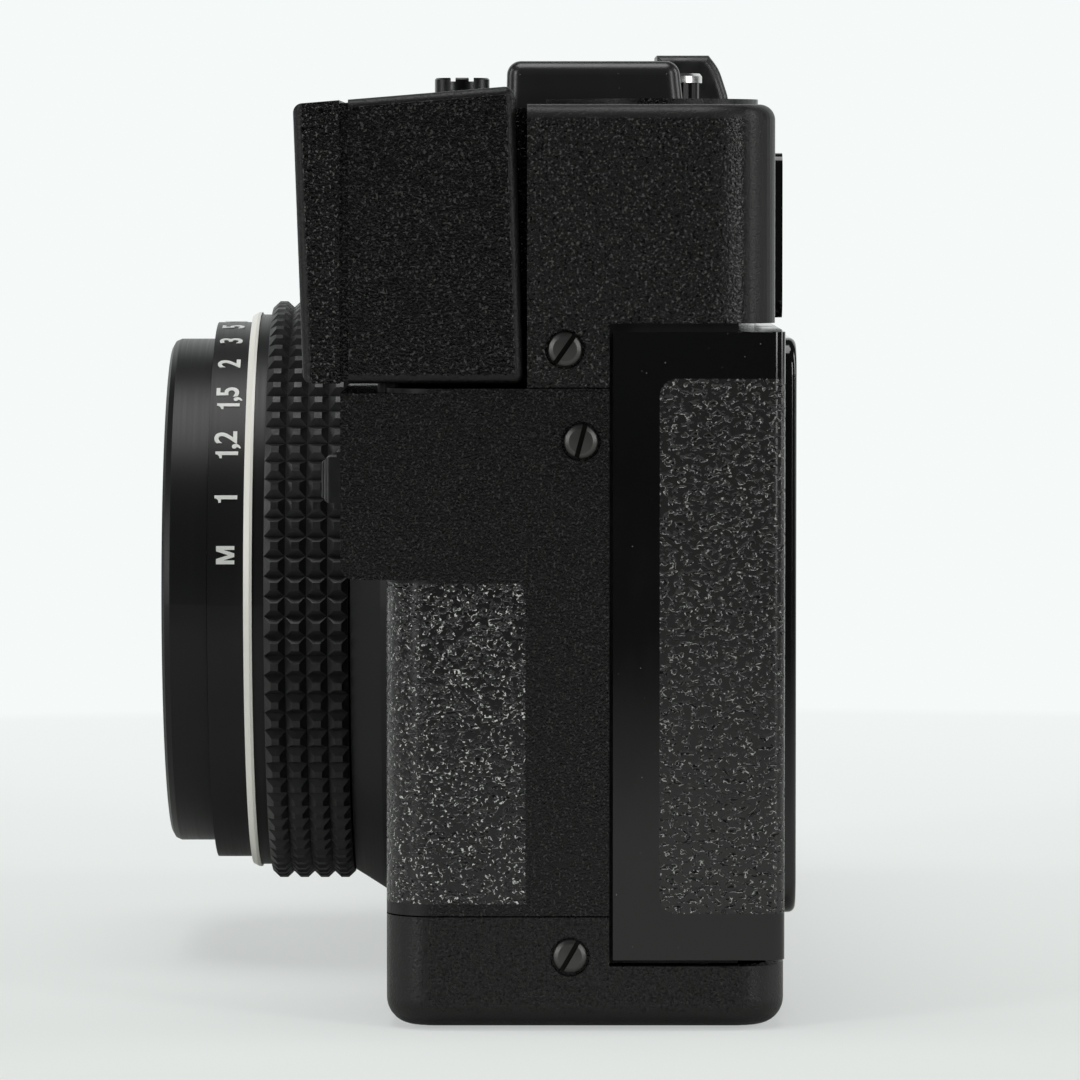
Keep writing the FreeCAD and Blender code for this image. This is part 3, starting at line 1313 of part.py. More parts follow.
def make_top_controls():
    x, y = lever
    plate_z = (top + d.slip_gap, top + d.slip_gap + d.lever_sheet)
    hub = rod("lever_hub", "z", d.lever_radius, plate_z, lever)
    arm_x = (x - d.tip_far, x + d.tip_near)
    tip_y = (lift(d.tip_front), d.tip_front + d.tip_depth)
    arm = block("lever_arm", wide(arm_x, -d.wall), (y, tip_y[0]), plate_z)
    shaft = rod("lever_shaft", "z", d.lever_shaft_radius, (cover_roof - d.boss_height - 1, plate_z[0] + 0.5), lever)
    node(fuse("lever", hub, arm, shaft), "advance_lever")
    crown = top + d.tip_rise
    heel_z = plate_z[0] + d.tip_back_tall
    tip_points = [(tip_y[0], plate_z[0]), (tip_y[1], plate_z[0]), (tip_y[1], heel_z),
                  (tip_y[1] - d.tip_lean, crown - d.tip_shoulder), (tip_y[1] - d.tip_slant, crown), (tip_y[0], crown)]
    tip = extruded("tip_block", "YZ_Plane", tip_points, d.tip_far + d.tip_near, (arm_x[0], 0, 0))
    bend_z = (heel_z.value - 0.01, (crown - d.tip_shoulder).value + 0.01)
    rounded(tip, d.tip_curve, lambda edge: runs(edge, X_AXIS) and bend_z[0] < edge.Vertexes[0].Z < bend_z[1])
    low = plate_z[0].value + 0.01
    width = (d.tip_far + d.tip_near).value
    rounded(tip, d.tip_round, lambda edge: max(v.Z for v in edge.Vertexes) > low
            and (max(v.X for v in edge.Vertexes) < 0.01 or min(v.X for v in edge.Vertexes) > width - 0.01))
    node(tip, "lever_tip")
    cap_low = plate_z[1]
    node(turned("lever_button", [(0, 0), (d.cap_radius, 0), (d.cap_radius, d.cap_height * 0.6),
                                 (d.cap_radius - d.cap_height * 0.4, d.cap_height), (0, d.cap_height)],
                (x, y, cap_low), UPRIGHT), "lever_cap")

    cx, cy = counter
    disc_high = cover_roof - d.counter_gap
    node(turned("counter", [(0, d.cover_rear_low + d.run_gap), (d.counter_post, d.cover_rear_low + d.run_gap),
                            (d.counter_post, disc_high - d.counter_sheet),
                            (d.counter_radius, disc_high - d.counter_sheet), (d.counter_radius, disc_high),
                            (0, disc_high)], (cx, cy, 0), UPRIGHT), "counter_dial")
    node(rod("counter_glass", "z", d.counter_window_radius, (cover_roof, top - d.seam), counter), "counter_window")

    bx, by = button
    crown = d.button_rise
    low = -d.wall - d.boss_height
    stem = turned("button_stem", [(0, low), (d.button_radius, low), (d.button_radius, crown - d.button_edge),
                                (d.button_radius - d.button_edge, crown), (d.cable_radius, crown),
                                  (d.cable_radius, crown - d.cable_length), (0, crown - d.cable_length)],
                  (bx, by, top), UPRIGHT)
    grooves = []
    for name, sign in (("front", -1), ("back", 1)):
        grooves.append(block(f"button_groove_{name}", centred(bx, d.button_radius * 3),
                             centred(by + d.groove_offset * sign, d.button_groove),
                             (top + crown - d.groove_depth, top + crown + 1)))
    node(cut("button_grooved", stem, *grooves), "shutter_button")
    node(turned("collar", [(d.button_radius + d.run_gap, 0), (d.collar_out, 0), (d.collar_out, d.collar_rise * 0.6),
                           (d.collar_out - d.collar_rise * 0.4, d.collar_rise),
                           (d.button_radius + d.run_gap, d.collar_rise)], (bx, by, top), UPRIGHT), "button_collar")

    dx, dy = dial
    cap_z = (top + d.dial_rise - d.dial_cap, top + d.dial_rise)
    flutes = star_prism("dial_flutes", d.dial_radius.value, d.flute_depth.value, int(round(d.flute_count.value)),
                        (d.dial_rise - d.dial_cap - d.run_gap * 2).value, 0.55)
    place(flutes, dx, dy, top + d.run_gap * 2)
    stem = rod("dial_stem", "z", d.spindle_radius, (cover_roof - d.boss_height, top + d.wall), dial)
    node(fuse("dial_body", flutes, stem), "film_dial")
    node(turned("dial_top", [(0, 0), (d.dial_radius + d.flute_depth * 0.6, 0),
                             (d.dial_radius + d.flute_depth * 0.6, d.dial_cap * 0.7),
                             (d.dial_radius, d.dial_cap), (0, d.dial_cap)], (dx, dy, cap_z[0]), UPRIGHT),
         "film_dial_cap")


# Film transport

def make_transport():
    x, y = spool
    floor = d.takeup_low + d.slip_gap
    roof = d.takeup_high - d.slip_gap
    pivot_low = d.takeup_low - d.spindle_depth + d.slip_gap
    pivot_high = d.cover_rear_low - d.slip_gap
    flange = d.spool_radius + d.wall
    blank = turned("spool_blank", [(0, pivot_low), (d.spindle_radius, pivot_low), (d.spindle_radius, floor),
                                   (flange, floor), (flange, floor + d.wall), (d.spool_radius, floor + d.wall),
                                   (d.spool_radius, roof - d.wall), (flange, roof - d.wall), (flange, roof),
                                   (d.spindle_radius, roof), (d.spindle_radius, pivot_high), (0, pivot_high)],
                   (x, y, 0), UPRIGHT)
    slots = []
    for index in range(int(round(d.spool_slots.value))):
        angle = 360 * index / d.spool_slots.value
        slot = doc.addObject("Part::Box", f"spool_slot_{index}")
        bind(slot, "Length", d.spool_radius + 1)
        bind(slot, "Width", d.slot_gap)
        bind(slot, "Height", roof - floor - d.wall * 4)
        radians = math.radians(angle)
        start = d.spool_radius * 0.55
        corner_x = x + start * math.cos(radians) + d.slot_gap * (math.sin(radians) / 2)
        corner_y = y + start * math.sin(radians) - d.slot_gap * (math.cos(radians) / 2)
        place(slot, corner_x, corner_y, floor + d.wall * 2, FreeCAD.Rotation(Z_AXIS, angle))
        slots.append(slot)
    node(cut("takeup", blank, *slots), "takeup_spool")

    sx, sy = sprocket
    drum = turned("drum", [(0, pivot_low), (d.spindle_radius, pivot_low), (d.spindle_radius, floor),
                           (d.sprocket_radius, floor), (d.sprocket_radius, roof), (d.spindle_radius, roof),
                           (d.spindle_radius, pivot_high), (0, pivot_high)], (sx, sy, 0), UPRIGHT)
    teeth = []
    count = int(round(d.sprocket_teeth.value))
    for row, side in (("low", -1), ("high", 1)):
        middle = d.lens_height + side * d.tooth_spacing / 2
        for index in range(count):
            angle = 360 * (index + 0.5) / count
            tooth = doc.addObject("Part::Wedge", f"tooth_{row}_{index}")
            half_wide = d.tooth_width / 2
            half_tall = d.tooth_tall / 2
            reach = d.sprocket_radius + d.tooth_height
            sizes = {"Ymin": d.sprocket_radius - 1, "Ymax": reach, "Xmin": -half_wide, "Xmax": half_wide,
                     "Zmin": -half_tall, "Zmax": half_tall, "X2min": -half_wide / 2, "X2max": half_wide / 2,
                     "Z2min": -half_tall / 2, "Z2max": half_tall / 2}
            for prop, size in sizes.items():
                bind(tooth, prop, size)
            place(tooth, sx, sy, middle, FreeCAD.Rotation(Z_AXIS, angle))
            teeth.append(tooth)
    node(fuse("sprocket_solid", drum, *teeth), "sprocket_drum")


# Base fittings

def make_base_parts():
    node(tube("bush", d.socket_radius, d.bush_radius, 0, d.base_rear_height, (0, 0, 0), UPRIGHT), "tripod_bush")
    x, y, _ = lid_span()
    lid = block("lid", (x[0] + d.seam, x[1] - d.lid_travel - d.seam), wide(y, -d.seam),
                (d.seam, d.lid_thickness - d.run_gap))
    node(lid, "battery_cover")
    node(rod("release_pin", "z", d.release_radius,
             (d.slip_gap, d.base_rear_height + d.release_depth - d.release_travel - d.slip_gap), sprocket),
         "rewind_release")
    feet = []
    for index, (fx, fy) in enumerate(FOOT_SPOTS):
        blank = turned(f"foot_{index}_blank", [(0, -d.foot_shank), (d.shank_radius, -d.foot_shank),
                                               (d.shank_radius, 0), (d.screw_radius, 0),
                                               (d.screw_radius, d.head_recess * 0.6), (0, d.head_recess * 0.8)],
                       (fx, fy, d.head_recess), FreeCAD.Rotation(X_AXIS, 180))
        slot = block(f"foot_{index}_slot", wide((fx, fx), d.screw_radius * 1.5), centred(fy, d.slot_width),
                     (-1, d.slot_depth + d.slip_gap / 2))
        feet.append(cut(f"foot_{index}", blank, slot))
    node(group("foot_screw_set", *feet), "bottom_screws")


def check_and_write():
    """Stop on any failed object or bad shape, then write one file for each piece."""
    doc.recompute()
    for thing in doc.Objects:
        if "Invalid" in thing.State or "Error" in thing.State:
            raise RuntimeError(f"{thing.Label}: {thing.State}")
    os.makedirs("parts", exist_ok=True)
    for label, thing in NODES.items():
        shape = thing.Shape
        if shape.isNull() or not shape.isValid() or not shape.Solids:
            raise RuntimeError(f"{label}: bad shape")
        shape.exportStep(f"parts/{label}.step")
        print(f"{label}: {len(shape.Solids)} solid(s), {shape.Volume:.1f} mm3")
    print(f"{len(NODES)} pieces")


make_chassis()
skins = make_skins()
make_shell(skins)
make_bottom_cover()
make_top_cover()
make_finder_parts()
make_door(make_door_skin())
make_pressure_parts()
make_latch()
make_flash()
make_flash_release()
make_lens_rings()
make_focus_grip()
make_lens_unit()
make_rewind()
make_top_controls()
make_transport()
make_base_parts()
make_side_screws()
check_and_write()
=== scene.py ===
# %% [markdown]
# # A compact 35 mm film camera
#
# The solid parts of the camera come from CAD. This script puts them in a small studio, gives each one
# the finish of the real thing, and models the small details that the solids leave out. It begins by
# loading the frame.

# %% Load the camera's solids
from math import cos, pi, radians, sin

import bmesh
import bpy
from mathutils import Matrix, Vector


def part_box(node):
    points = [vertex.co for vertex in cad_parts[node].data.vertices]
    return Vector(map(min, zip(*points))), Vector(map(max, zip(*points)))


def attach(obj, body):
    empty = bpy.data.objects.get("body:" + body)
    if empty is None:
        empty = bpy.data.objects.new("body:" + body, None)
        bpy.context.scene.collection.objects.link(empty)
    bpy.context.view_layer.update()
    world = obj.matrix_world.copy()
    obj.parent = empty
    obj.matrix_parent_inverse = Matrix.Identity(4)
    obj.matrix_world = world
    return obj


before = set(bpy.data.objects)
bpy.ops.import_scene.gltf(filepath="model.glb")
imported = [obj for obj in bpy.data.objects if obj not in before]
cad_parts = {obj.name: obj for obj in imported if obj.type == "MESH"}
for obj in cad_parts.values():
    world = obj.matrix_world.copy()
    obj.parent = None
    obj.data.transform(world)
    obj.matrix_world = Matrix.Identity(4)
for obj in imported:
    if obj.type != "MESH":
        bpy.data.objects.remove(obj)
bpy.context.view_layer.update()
scene = bpy.context.scene

# %% [markdown]
# ## The camera that takes the picture
#
# The photograph looks at one end of the object from about 55 cm away, a little from above. The view
# could be set by eye, but here it is the one that was fitted to the object's edges in the photograph.
# Its frame is square, so the lens is given for a square frame with a 36 mm side. A long lens, hardly
# tilted, keeps the upright edges almost upright.

# %% Photographer's view
EYE = Vector((0.615, -0.0092, 0.0688))
LOOK_DOWN = 3.0
FOCAL_LENGTH = 225.5
FRAME_SIDE = 36.0
NEAREST = 0.01

view_data = bpy.data.cameras.new("photo_view")
view_data.lens = FOCAL_LENGTH
view_data.sensor_width = FRAME_SIDE
view_data.clip_start = NEAREST
view = bpy.data.objects.new("photo_view", view_data)
view.location = EYE
view.rotation_euler = (radians(90 - LOOK_DOWN), 0, radians(90))
scene.collection.objects.link(view)
scene.camera = view
print("camera at", [round(value, 4) for value in view.location])

# %% [markdown]
# ## Starting a finish
#
# A real finish is a colour, a gloss and a grain. It could be painted as a picture and wrapped round the
# piece, but a picture has to be unwrapped, and it blurs up close. So every finish here is one shader,
# with its fixed numbers set on its own sockets, and with patterns worked out in object coordinates.

# %% Shader helpers
EVEN = (1, 1, 1)


def start_finish(name, colour, roughness, metallic=0.0, specular=0.5):
    material = bpy.data.materials.new(name)
    material.use_nodes = True
    shader = material.node_tree.nodes["Principled BSDF"]
    shader.inputs["Base Color"].default_value = (*colour, 1.0)
    shader.inputs["Roughness"].default_value = roughness
    shader.inputs["Metallic"].default_value = metallic
    shader.inputs["Specular IOR Level"].default_value = specular
    return material


def shader_socket(material, socket):
    return material.node_tree.nodes["Principled BSDF"].inputs[socket]


def add_node(material, kind, **settings):
    made = material.node_tree.nodes.new(kind)
    for name, value in settings.items():
        setattr(made, name, value)
    return made


def link(material, source, target):
    material.node_tree.links.new(source, target)


def place(material, stretch=EVEN):
    """Object coordinates, stretched where a pattern runs one way."""
    coordinates = add_node(material, "ShaderNodeTexCoord")
    mapping = add_node(material, "ShaderNodeMapping")
    mapping.inputs["Scale"].default_value = stretch
    link(material, coordinates.outputs["Object"], mapping.inputs["Vector"])
    return mapping.outputs["Vector"]


print("shader helpers ready")

# %% [markdown]
# ## Patterns
#
# The grain of paint, rubber and leather never repeats, and neither does noise. Object coordinates are in
# metres, so a scale of 2000 gives grains of about half a millimetre. Noise mostly keeps to its middle
# values, so a range of it is opened out between two values, and patterns are joined by arithmetic.

# %% Pattern helpers
MIDDLE = (0.35, 0.65)
UPPER = (0.45, 0.75)


def noise(material, scale, detail=2.0, at=None, distortion=0.0):
    pattern = add_node(material, "ShaderNodeTexNoise")
    pattern.inputs["Scale"].default_value = scale
    pattern.inputs["Detail"].default_value = detail
    pattern.inputs["Distortion"].default_value = distortion
    link(material, at or place(material), pattern.inputs["Vector"])
    return pattern.outputs["Fac"]


def axes(material, vector):
    """The X, Y and Z parts of a vector."""
    parts = add_node(material, "ShaderNodeSeparateXYZ")
    link(material, vector, parts.inputs["Vector"])
    return parts.outputs


def spread(material, source, from_low, from_high, low=0.0, high=1.0):
    """A range of the source opened out between two values."""
    ranged = add_node(material, "ShaderNodeMapRange")
    for socket, value in (("From Min", from_low), ("From Max", from_high), ("To Min", low), ("To Max", high)):
        ranged.inputs[socket].default_value = value
    link(material, source, ranged.inputs["Value"])
    return ranged.outputs["Result"]


def mixed(material, operation, first, second):
    """Two patterns, or a pattern and a number, joined by arithmetic."""
    joined = add_node(material, "ShaderNodeMath", operation=operation)
    for socket, value in zip(joined.inputs, (first, second)):
        if isinstance(value, (int, float)):
            socket.default_value = value
        else:
            link(material, value, socket)
    return joined.outputs["Value"]


print("pattern helpers ready")

# %% [markdown]
# ## What a pattern changes
#
# On a real surface one grain shows in the colour, in the gloss and in the relief. Each could have a
# texture of its own, but then they would drift apart. Here one pattern can blend two colours, pick greys
# along a ramp, vary the roughness, or raise a bump.

# %% Colour, gloss and relief helpers
GREY_GREEN = 1.02
GREY_BLUE = 0.96
WEAR_DETAIL = 3.0


def tint(material, share, dark, light):
    """Colour between two tones, by a pattern."""
    blend = add_node(material, "ShaderNodeMix", data_type="RGBA")
    first, second = [socket for socket in blend.inputs if socket.type == "RGBA"][:2]
    first.default_value = (*dark, 1.0)
    second.default_value = (*light, 1.0)
    link(material, share, blend.inputs["Factor"])
    colour_out = [socket for socket in blend.outputs if socket.type == "RGBA"][0]
    link(material, colour_out, shader_socket(material, "Base Color"))


def tones(material, source, stops):
    """Faintly warm greys along a pattern, from its low values to its high ones."""
    ramp = add_node(material, "ShaderNodeValToRGB")
    for number, (position, level) in enumerate(stops):
        stop = ramp.color_ramp.elements[number] if number < 2 else ramp.color_ramp.elements.new(position)
        stop.position = position
        stop.color = (level, level * GREY_GREEN, level * GREY_BLUE, 1.0)
    link(material, source, ramp.inputs["Fac"])
    link(material, ramp.outputs["Color"], shader_socket(material, "Base Color"))


def relief(material, height, depth, strength=1.0):
    """Raise the surface by a pattern, with depth in metres."""
    bump = add_node(material, "ShaderNodeBump")
    bump.inputs["Strength"].default_value = strength
    bump.inputs["Distance"].default_value = depth
    link(material, height, bump.inputs["Height"])
    link(material, bump.outputs["Normal"], shader_socket(material, "Normal"))


def worn_roughness(material, scale, low, high, stretch=EVEN):
    """Gloss that varies between two values, as handling leaves it."""
    pattern = noise(material, scale, WEAR_DETAIL, place(material, stretch))
    link(material, spread(material, pattern, *MIDDLE, low, high), shader_socket(material, "Roughness"))


print("colour, gloss and relief helpers ready")

# %% [markdown]
# ## Paper sweep
#
# The photograph is a product shot on a sheet of pale paper that runs under the camera and curves up
# behind it. A floor and a wall would meet in a visible corner. So the far edge of a plane is drawn
# upwards, and a wide bevel with many steps turns the corner into a smooth bend.

# %% Shape of the paper
SWEEP_BACK = -1.8
SWEEP_FRONT = 1.4
SWEEP_HALF_WIDTH = 1.6
SWEEP_HEIGHT = 1.6
SWEEP_RADIUS = 0.30
SWEEP_STEPS = 16
FLOOR_Z = -0.0002
EDGE_REACH = 0.001

bpy.ops.object.select_all(action="DESELECT")
bpy.ops.mesh.primitive_plane_add(size=1, location=(0, 0, 0))
paper = bpy.context.object
paper.name = "paper_sweep"
paper.scale = (SWEEP_FRONT - SWEEP_BACK, 2 * SWEEP_HALF_WIDTH, 1)
paper.location = ((SWEEP_FRONT + SWEEP_BACK) / 2, 0, FLOOR_Z)
bpy.ops.object.transform_apply(location=True, rotation=False, scale=True)
bpy.ops.object.mode_set(mode="EDIT")
bpy.ops.mesh.select_mode(type="EDGE")
bpy.ops.mesh.select_all(action="DESELECT")
mesh = bmesh.from_edit_mesh(paper.data)
for edge in mesh.edges:
    if all(vert.co.x < SWEEP_BACK + EDGE_REACH for vert in edge.verts):
        edge.select = True
bmesh.update_edit_mesh(paper.data)
bpy.ops.mesh.extrude_region_move(TRANSFORM_OT_translate={"value": (0, 0, SWEEP_HEIGHT)})
bpy.ops.mesh.select_mode(type="VERT")
bpy.ops.object.mode_set(mode="OBJECT")
sweep_bend = paper.modifiers.new("bend", "BEVEL")
sweep_bend.width = SWEEP_RADIUS
sweep_bend.segments = SWEEP_STEPS
bpy.ops.object.modifier_apply(modifier="bend")
bpy.ops.object.shade_smooth()
print("paper sweep", [round(size, 2) for size in paper.dimensions])

# %% [markdown]
# ## Finish of the paper
#
# The paper shows the camera's soft shadow and fades to near white behind it. More lamps could whiten
# it, but they would also grey the black plastic. So the paper glows where it is seen directly, by about
# half under and in front of the camera and fully towards the back: painted light that pales the
# camera's shadow. In a reflection the far paper glows too, and the far paper is dark to every other ray,
# so that it throws no light back.

# %% Glow and tone of the paper
PAPER = (0.79, 0.82, 0.78)
FAR_PAPER = (0.05, 0.05, 0.05)
PAPER_GLOW_TONE = (0.915, 0.950, 0.940)
PAPER_ROUGHNESS = 0.9
PAPER_SHINE = 0.1
DARK_RANGE = (0.22, 0.5)
FAR_GLOW_RANGE = (0.14, 0.28)
BACK_GLOW_RANGE = (-0.10, 0.33)
BACK_GLOW_LEVELS = (0.42, 1.0)
MIRRORED_RANGE = (0.12, 0.30)

paper_finish = start_finish("studio_paper", PAPER, PAPER_ROUGHNESS, specular=PAPER_SHINE)
outward = add_node(paper_finish, "ShaderNodeVectorMath", operation="LENGTH")
link(paper_finish, place(paper_finish), outward.inputs[0])
outward = outward.outputs["Value"]
tint(paper_finish, spread(paper_finish, outward, *DARK_RANGE), PAPER, FAR_PAPER)

rays = add_node(paper_finish, "ShaderNodeLightPath").outputs
behind = mixed(paper_finish, "MULTIPLY", axes(paper_finish, place(paper_finish))["X"], -1.0)
# Painted light: for camera rays the paper glows at least this much, which pales the camera's shadow.
back_glow = spread(paper_finish, behind, *BACK_GLOW_RANGE, *BACK_GLOW_LEVELS)
direct = mixed(paper_finish, "MAXIMUM", back_glow, spread(paper_finish, outward, *FAR_GLOW_RANGE))
direct = mixed(paper_finish, "MULTIPLY", direct, rays["Is Camera Ray"])
mirrored = mixed(paper_finish, "MAXIMUM", rays["Is Glossy Ray"], rays["Is Transmission Ray"])
mirrored = mixed(paper_finish, "MULTIPLY", mirrored, spread(paper_finish, behind, *MIRRORED_RANGE))

glow = add_node(paper_finish, "ShaderNodeEmission")
glow.inputs["Color"].default_value = (*PAPER_GLOW_TONE, 1.0)
blend = add_node(paper_finish, "ShaderNodeMixShader")
link(paper_finish, mixed(paper_finish, "ADD", direct, mirrored), blend.inputs["Fac"])
link(paper_finish, paper_finish.node_tree.nodes["Principled BSDF"].outputs["BSDF"], blend.inputs[1])
link(paper_finish, glow.outputs["Emission"], blend.inputs[2])
link(paper_finish, blend.outputs["Shader"], paper_finish.node_tree.nodes["Material Output"].inputs["Surface"])
paper.data.materials.append(paper_finish)
print("finish of the paper:", paper_finish.name)

# %% [markdown]
# ## The room
#
# A real studio's walls fill the deepest shadows a little. Modelled walls would do it, and so does a
# world with a low even light. Where the camera looks past the paper, the world reads as near white.

# %% World
ROOM = (0.95, 0.98, 1.0)
ROOM_FILL = 0.05
ROOM_SEEN = 0.93

scene.view_settings.view_transform = "Standard"
world = bpy.data.worlds.new("studio")
world.use_nodes = True
backing = world.node_tree.nodes["Background"]
backing.inputs["Color"].default_value = (*ROOM, 1.0)
world_paths = world.node_tree.nodes.new("ShaderNodeLightPath")
world_level = world.node_tree.nodes.new("ShaderNodeMapRange")
world_level.inputs["To Min"].default_value = ROOM_FILL
world_level.inputs["To Max"].default_value = ROOM_SEEN
world.node_tree.links.new(world_paths.outputs["Is Camera Ray"], world_level.inputs["Value"])
world.node_tree.links.new(world_level.outputs["Result"], backing.inputs["Strength"])
scene.world = world
print("world", world.name, "fills at", ROOM_FILL)

# %% [markdown]
# ## Light
#
# Black plastic shows only what it reflects. Small lamps would give hard points of light. Tall soft boxes
# on each side of the photographer draw long highlights down the upright edges and the lens, two more
# light the rims from the sides, and a large one hangs overhead. Each line of the list gives a box's
# place, width, height and power.

# %% Soft boxes
SOFT_BOXES = [
    ("lens_side", (0.80, -0.85, 0.36), 0.22, 0.70, 4.3),
    ("back_side", (0.80, 0.80, 0.36), 0.22, 0.70, 3.9),
    ("lens_rim", (-0.10, -0.95, 0.36), 0.30, 0.70, 2.0),
    ("back_rim", (-0.10, 0.95, 0.36), 0.30, 0.70, 3.0),
    ("overhead", (0.10, -0.10, 1.40), 0.80, 0.80, 9.5),
]
LIT_SPOT = Vector((0, 0, 0.035))

for name, spot, width, height, power in SOFT_BOXES:
    lamp_data = bpy.data.lights.new(name, "AREA")
    lamp_data.shape = "RECTANGLE"
    lamp_data.size, lamp_data.size_y = width, height
    lamp_data.energy = power
    lamp = bpy.data.objects.new(name, lamp_data)
    lamp.location = spot
    aim = LIT_SPOT - Vector(spot)
    lamp.rotation_euler = aim.to_track_quat("-Z", "Y").to_euler()
    scene.collection.objects.link(lamp)
print(len(SOFT_BOXES), "soft boxes")

# %% [markdown]
# ## Edges and the rounded end of a cover
#
# The texture of a moulding fades on its rounded edges. They could be marked by hand, but a flat face
# looks straight along one axis and a rounded edge doesn't, so the surface's own direction finds them.
# The top cover's back end is a broad round, which a bump that falls away along an arc can shade.

# %% Edge and end masks
FULLY_FLAT = 0.996
END_ROUND = 0.0060
END_SHARE = 0.86


def flat_share(material, edge_from):
    """One on flat faces and nothing on rounded edges, from the surface's own direction."""
    coordinates = add_node(material, "ShaderNodeTexCoord")
    size = add_node(material, "ShaderNodeVectorMath", operation="ABSOLUTE")
    link(material, coordinates.outputs["Normal"], size.inputs[0])
    parts = axes(material, size.outputs["Vector"])
    widest = mixed(material, "MAXIMUM", mixed(material, "MAXIMUM", parts["X"], parts["Y"]), parts["Z"])
    return spread(material, widest, edge_from, FULLY_FLAT)


def rounded_end(material, spot, start):
    """A fall towards the back that shades the end of a cover as a broad round, in shares of its radius."""
    along = spread(material, axes(material, spot)["Y"], start, start + END_ROUND, 0.0, END_SHARE)
    chord = mixed(material, "SUBTRACT", 1.0, mixed(material, "MULTIPLY", along, along))
    return mixed(material, "SQRT", chord, 0.0)


print("masks for edges and ends ready")

# %% [markdown]
# ## Crinkle-finish plastic
#
# The covers and the flash are black plastic with a fine, pitted texture. Grains of about a fifth of a
# millimetre catch the light. Modelled grains would take millions of faces, so one noise makes the grain
# and a coarser one the pits, in both colour and bump. The pits are painted darker as painted shade, and
# a few of the highest grains on flat faces are painted pale as painted glints.
# The covers are a little greyer than the flash, the flash's bezel has the deepest grain, and the base
# keeps its grain further round its edges.

# %% Crinkle finish
GRAIN_DETAIL = 1.0
PIT_SCALE = 0.66
PIT_DETAIL = 1.5
PIT_RANGE = (0.45, 0.39)
PIT_DEPTH = 0.8
# Share by which the pits are painted darker, as painted shade.
PIT_SHADE = 0.35
SPECK_SCALE = 0.9
GRAIN_TONES = ((0.22, 0.1), (0.40, 1.0), (0.60, 1.3))
# From here up, the grain tone is a painted glint.
PAINTED_GLINT_FROM = 0.68
EDGE_ROUGHNESS = 0.44
EDGE_GRAIN = 0.3


def crinkle(name, level, depth, roughness, scale, painted_glint_tone, round_from=None, edge_from=0.975):
    """Fine, close grain with painted shade in the pits and a few painted glints, smoother on the rounded
    edges.
    """
    material = start_finish(name, (level, level, level), roughness, specular=0.3)
    spot = place(material)
    flat = flat_share(material, edge_from)
    pits = spread(material, noise(material, scale * PIT_SCALE, PIT_DETAIL, spot), *PIT_RANGE)
    pitted = mixed(material, "SUBTRACT", noise(material, scale, GRAIN_DETAIL, spot),
                   mixed(material, "MULTIPLY", pits, PIT_DEPTH))
    # Grain tone, with painted shade in the pits and painted glints on the highest grains.
    grain_shade_and_glint = mixed(material, "SUBTRACT", noise(material, scale * SPECK_SCALE, GRAIN_DETAIL, spot),
                  mixed(material, "MULTIPLY", pits, PIT_SHADE))
    grain_shade_and_glint = mixed(material, "MULTIPLY", mixed(material, "SUBTRACT", grain_shade_and_glint, 0.5), flat)
    tones(material, mixed(material, "ADD", grain_shade_and_glint, 0.5),
          [(position, level * share) for position, share in GRAIN_TONES] + [(PAINTED_GLINT_FROM, painted_glint_tone)])
    link(material, spread(material, flat, 0.0, 1.0, EDGE_ROUGHNESS, roughness),
         shader_socket(material, "Roughness"))
    height = mixed(material, "MULTIPLY", pitted, spread(material, flat, 0.0, 1.0, EDGE_GRAIN, 1.0))
    height = mixed(material, "MULTIPLY", height, depth / END_ROUND)
    if round_from is not None:
        height = mixed(material, "ADD", height, rounded_end(material, spot, round_from))
    relief(material, height, END_ROUND)
    return material


cover_plastic = crinkle("cover_crinkle", level=0.0092, depth=0.00006, roughness=0.24, scale=4800,
                        painted_glint_tone=0.075, round_from=0.0042)
shell_plastic = crinkle("shell_crinkle", level=0.0050, depth=0.00004, roughness=0.24, scale=5200,
                        painted_glint_tone=0.035)
flash_plastic = crinkle("flash_crinkle", level=0.0034, depth=0.00009, roughness=0.22, scale=4400,
                        painted_glint_tone=0.050)
bezel_plastic = crinkle("bezel_crinkle", level=0.0050, depth=0.00011, roughness=0.20, scale=4000,
                        painted_glint_tone=0.10)
base_plastic = crinkle("base_crinkle", level=0.0078, depth=0.00004, roughness=0.27, scale=5200,
                       painted_glint_tone=0.022, edge_from=0.80)
print("crinkle finishes for the cover, shell, flash, bezel and base")

# %% [markdown]
# ## Leatherette
#
# The skins are embossed sheet. Its flat tops are broken by wavy dimples about half a millimetre across.
# Cells would give round pebbles with straight borders. One noise with a slight wobble gives wavy ones,
# and cutting its peaks off at a level leaves the flat tops. The dimples are painted darker towards their
# depths as painted shade, and their rims are painted pale here and there as painted glints. The door's
# sheet is a little coarser than the front's.

# %% Leatherette
SKIN_DETAIL, SKIN_STRETCH, SKIN_WOBBLE = 1.0, (1, 1, 1.4), 0.25
RIM_FOOT = (0.38, 0.42)
RIM_EDGE = 0.02
GLINT_SCALE, GLINT_DETAIL, GLINT_RANGE = 1.6, 0.5, (0.55, 0.61)
DIMPLE_SHADE_RANGE = (0.34, 0.5)
DIMPLE_SHADE = 0.003
PAINTED_RIM_TONE = 3


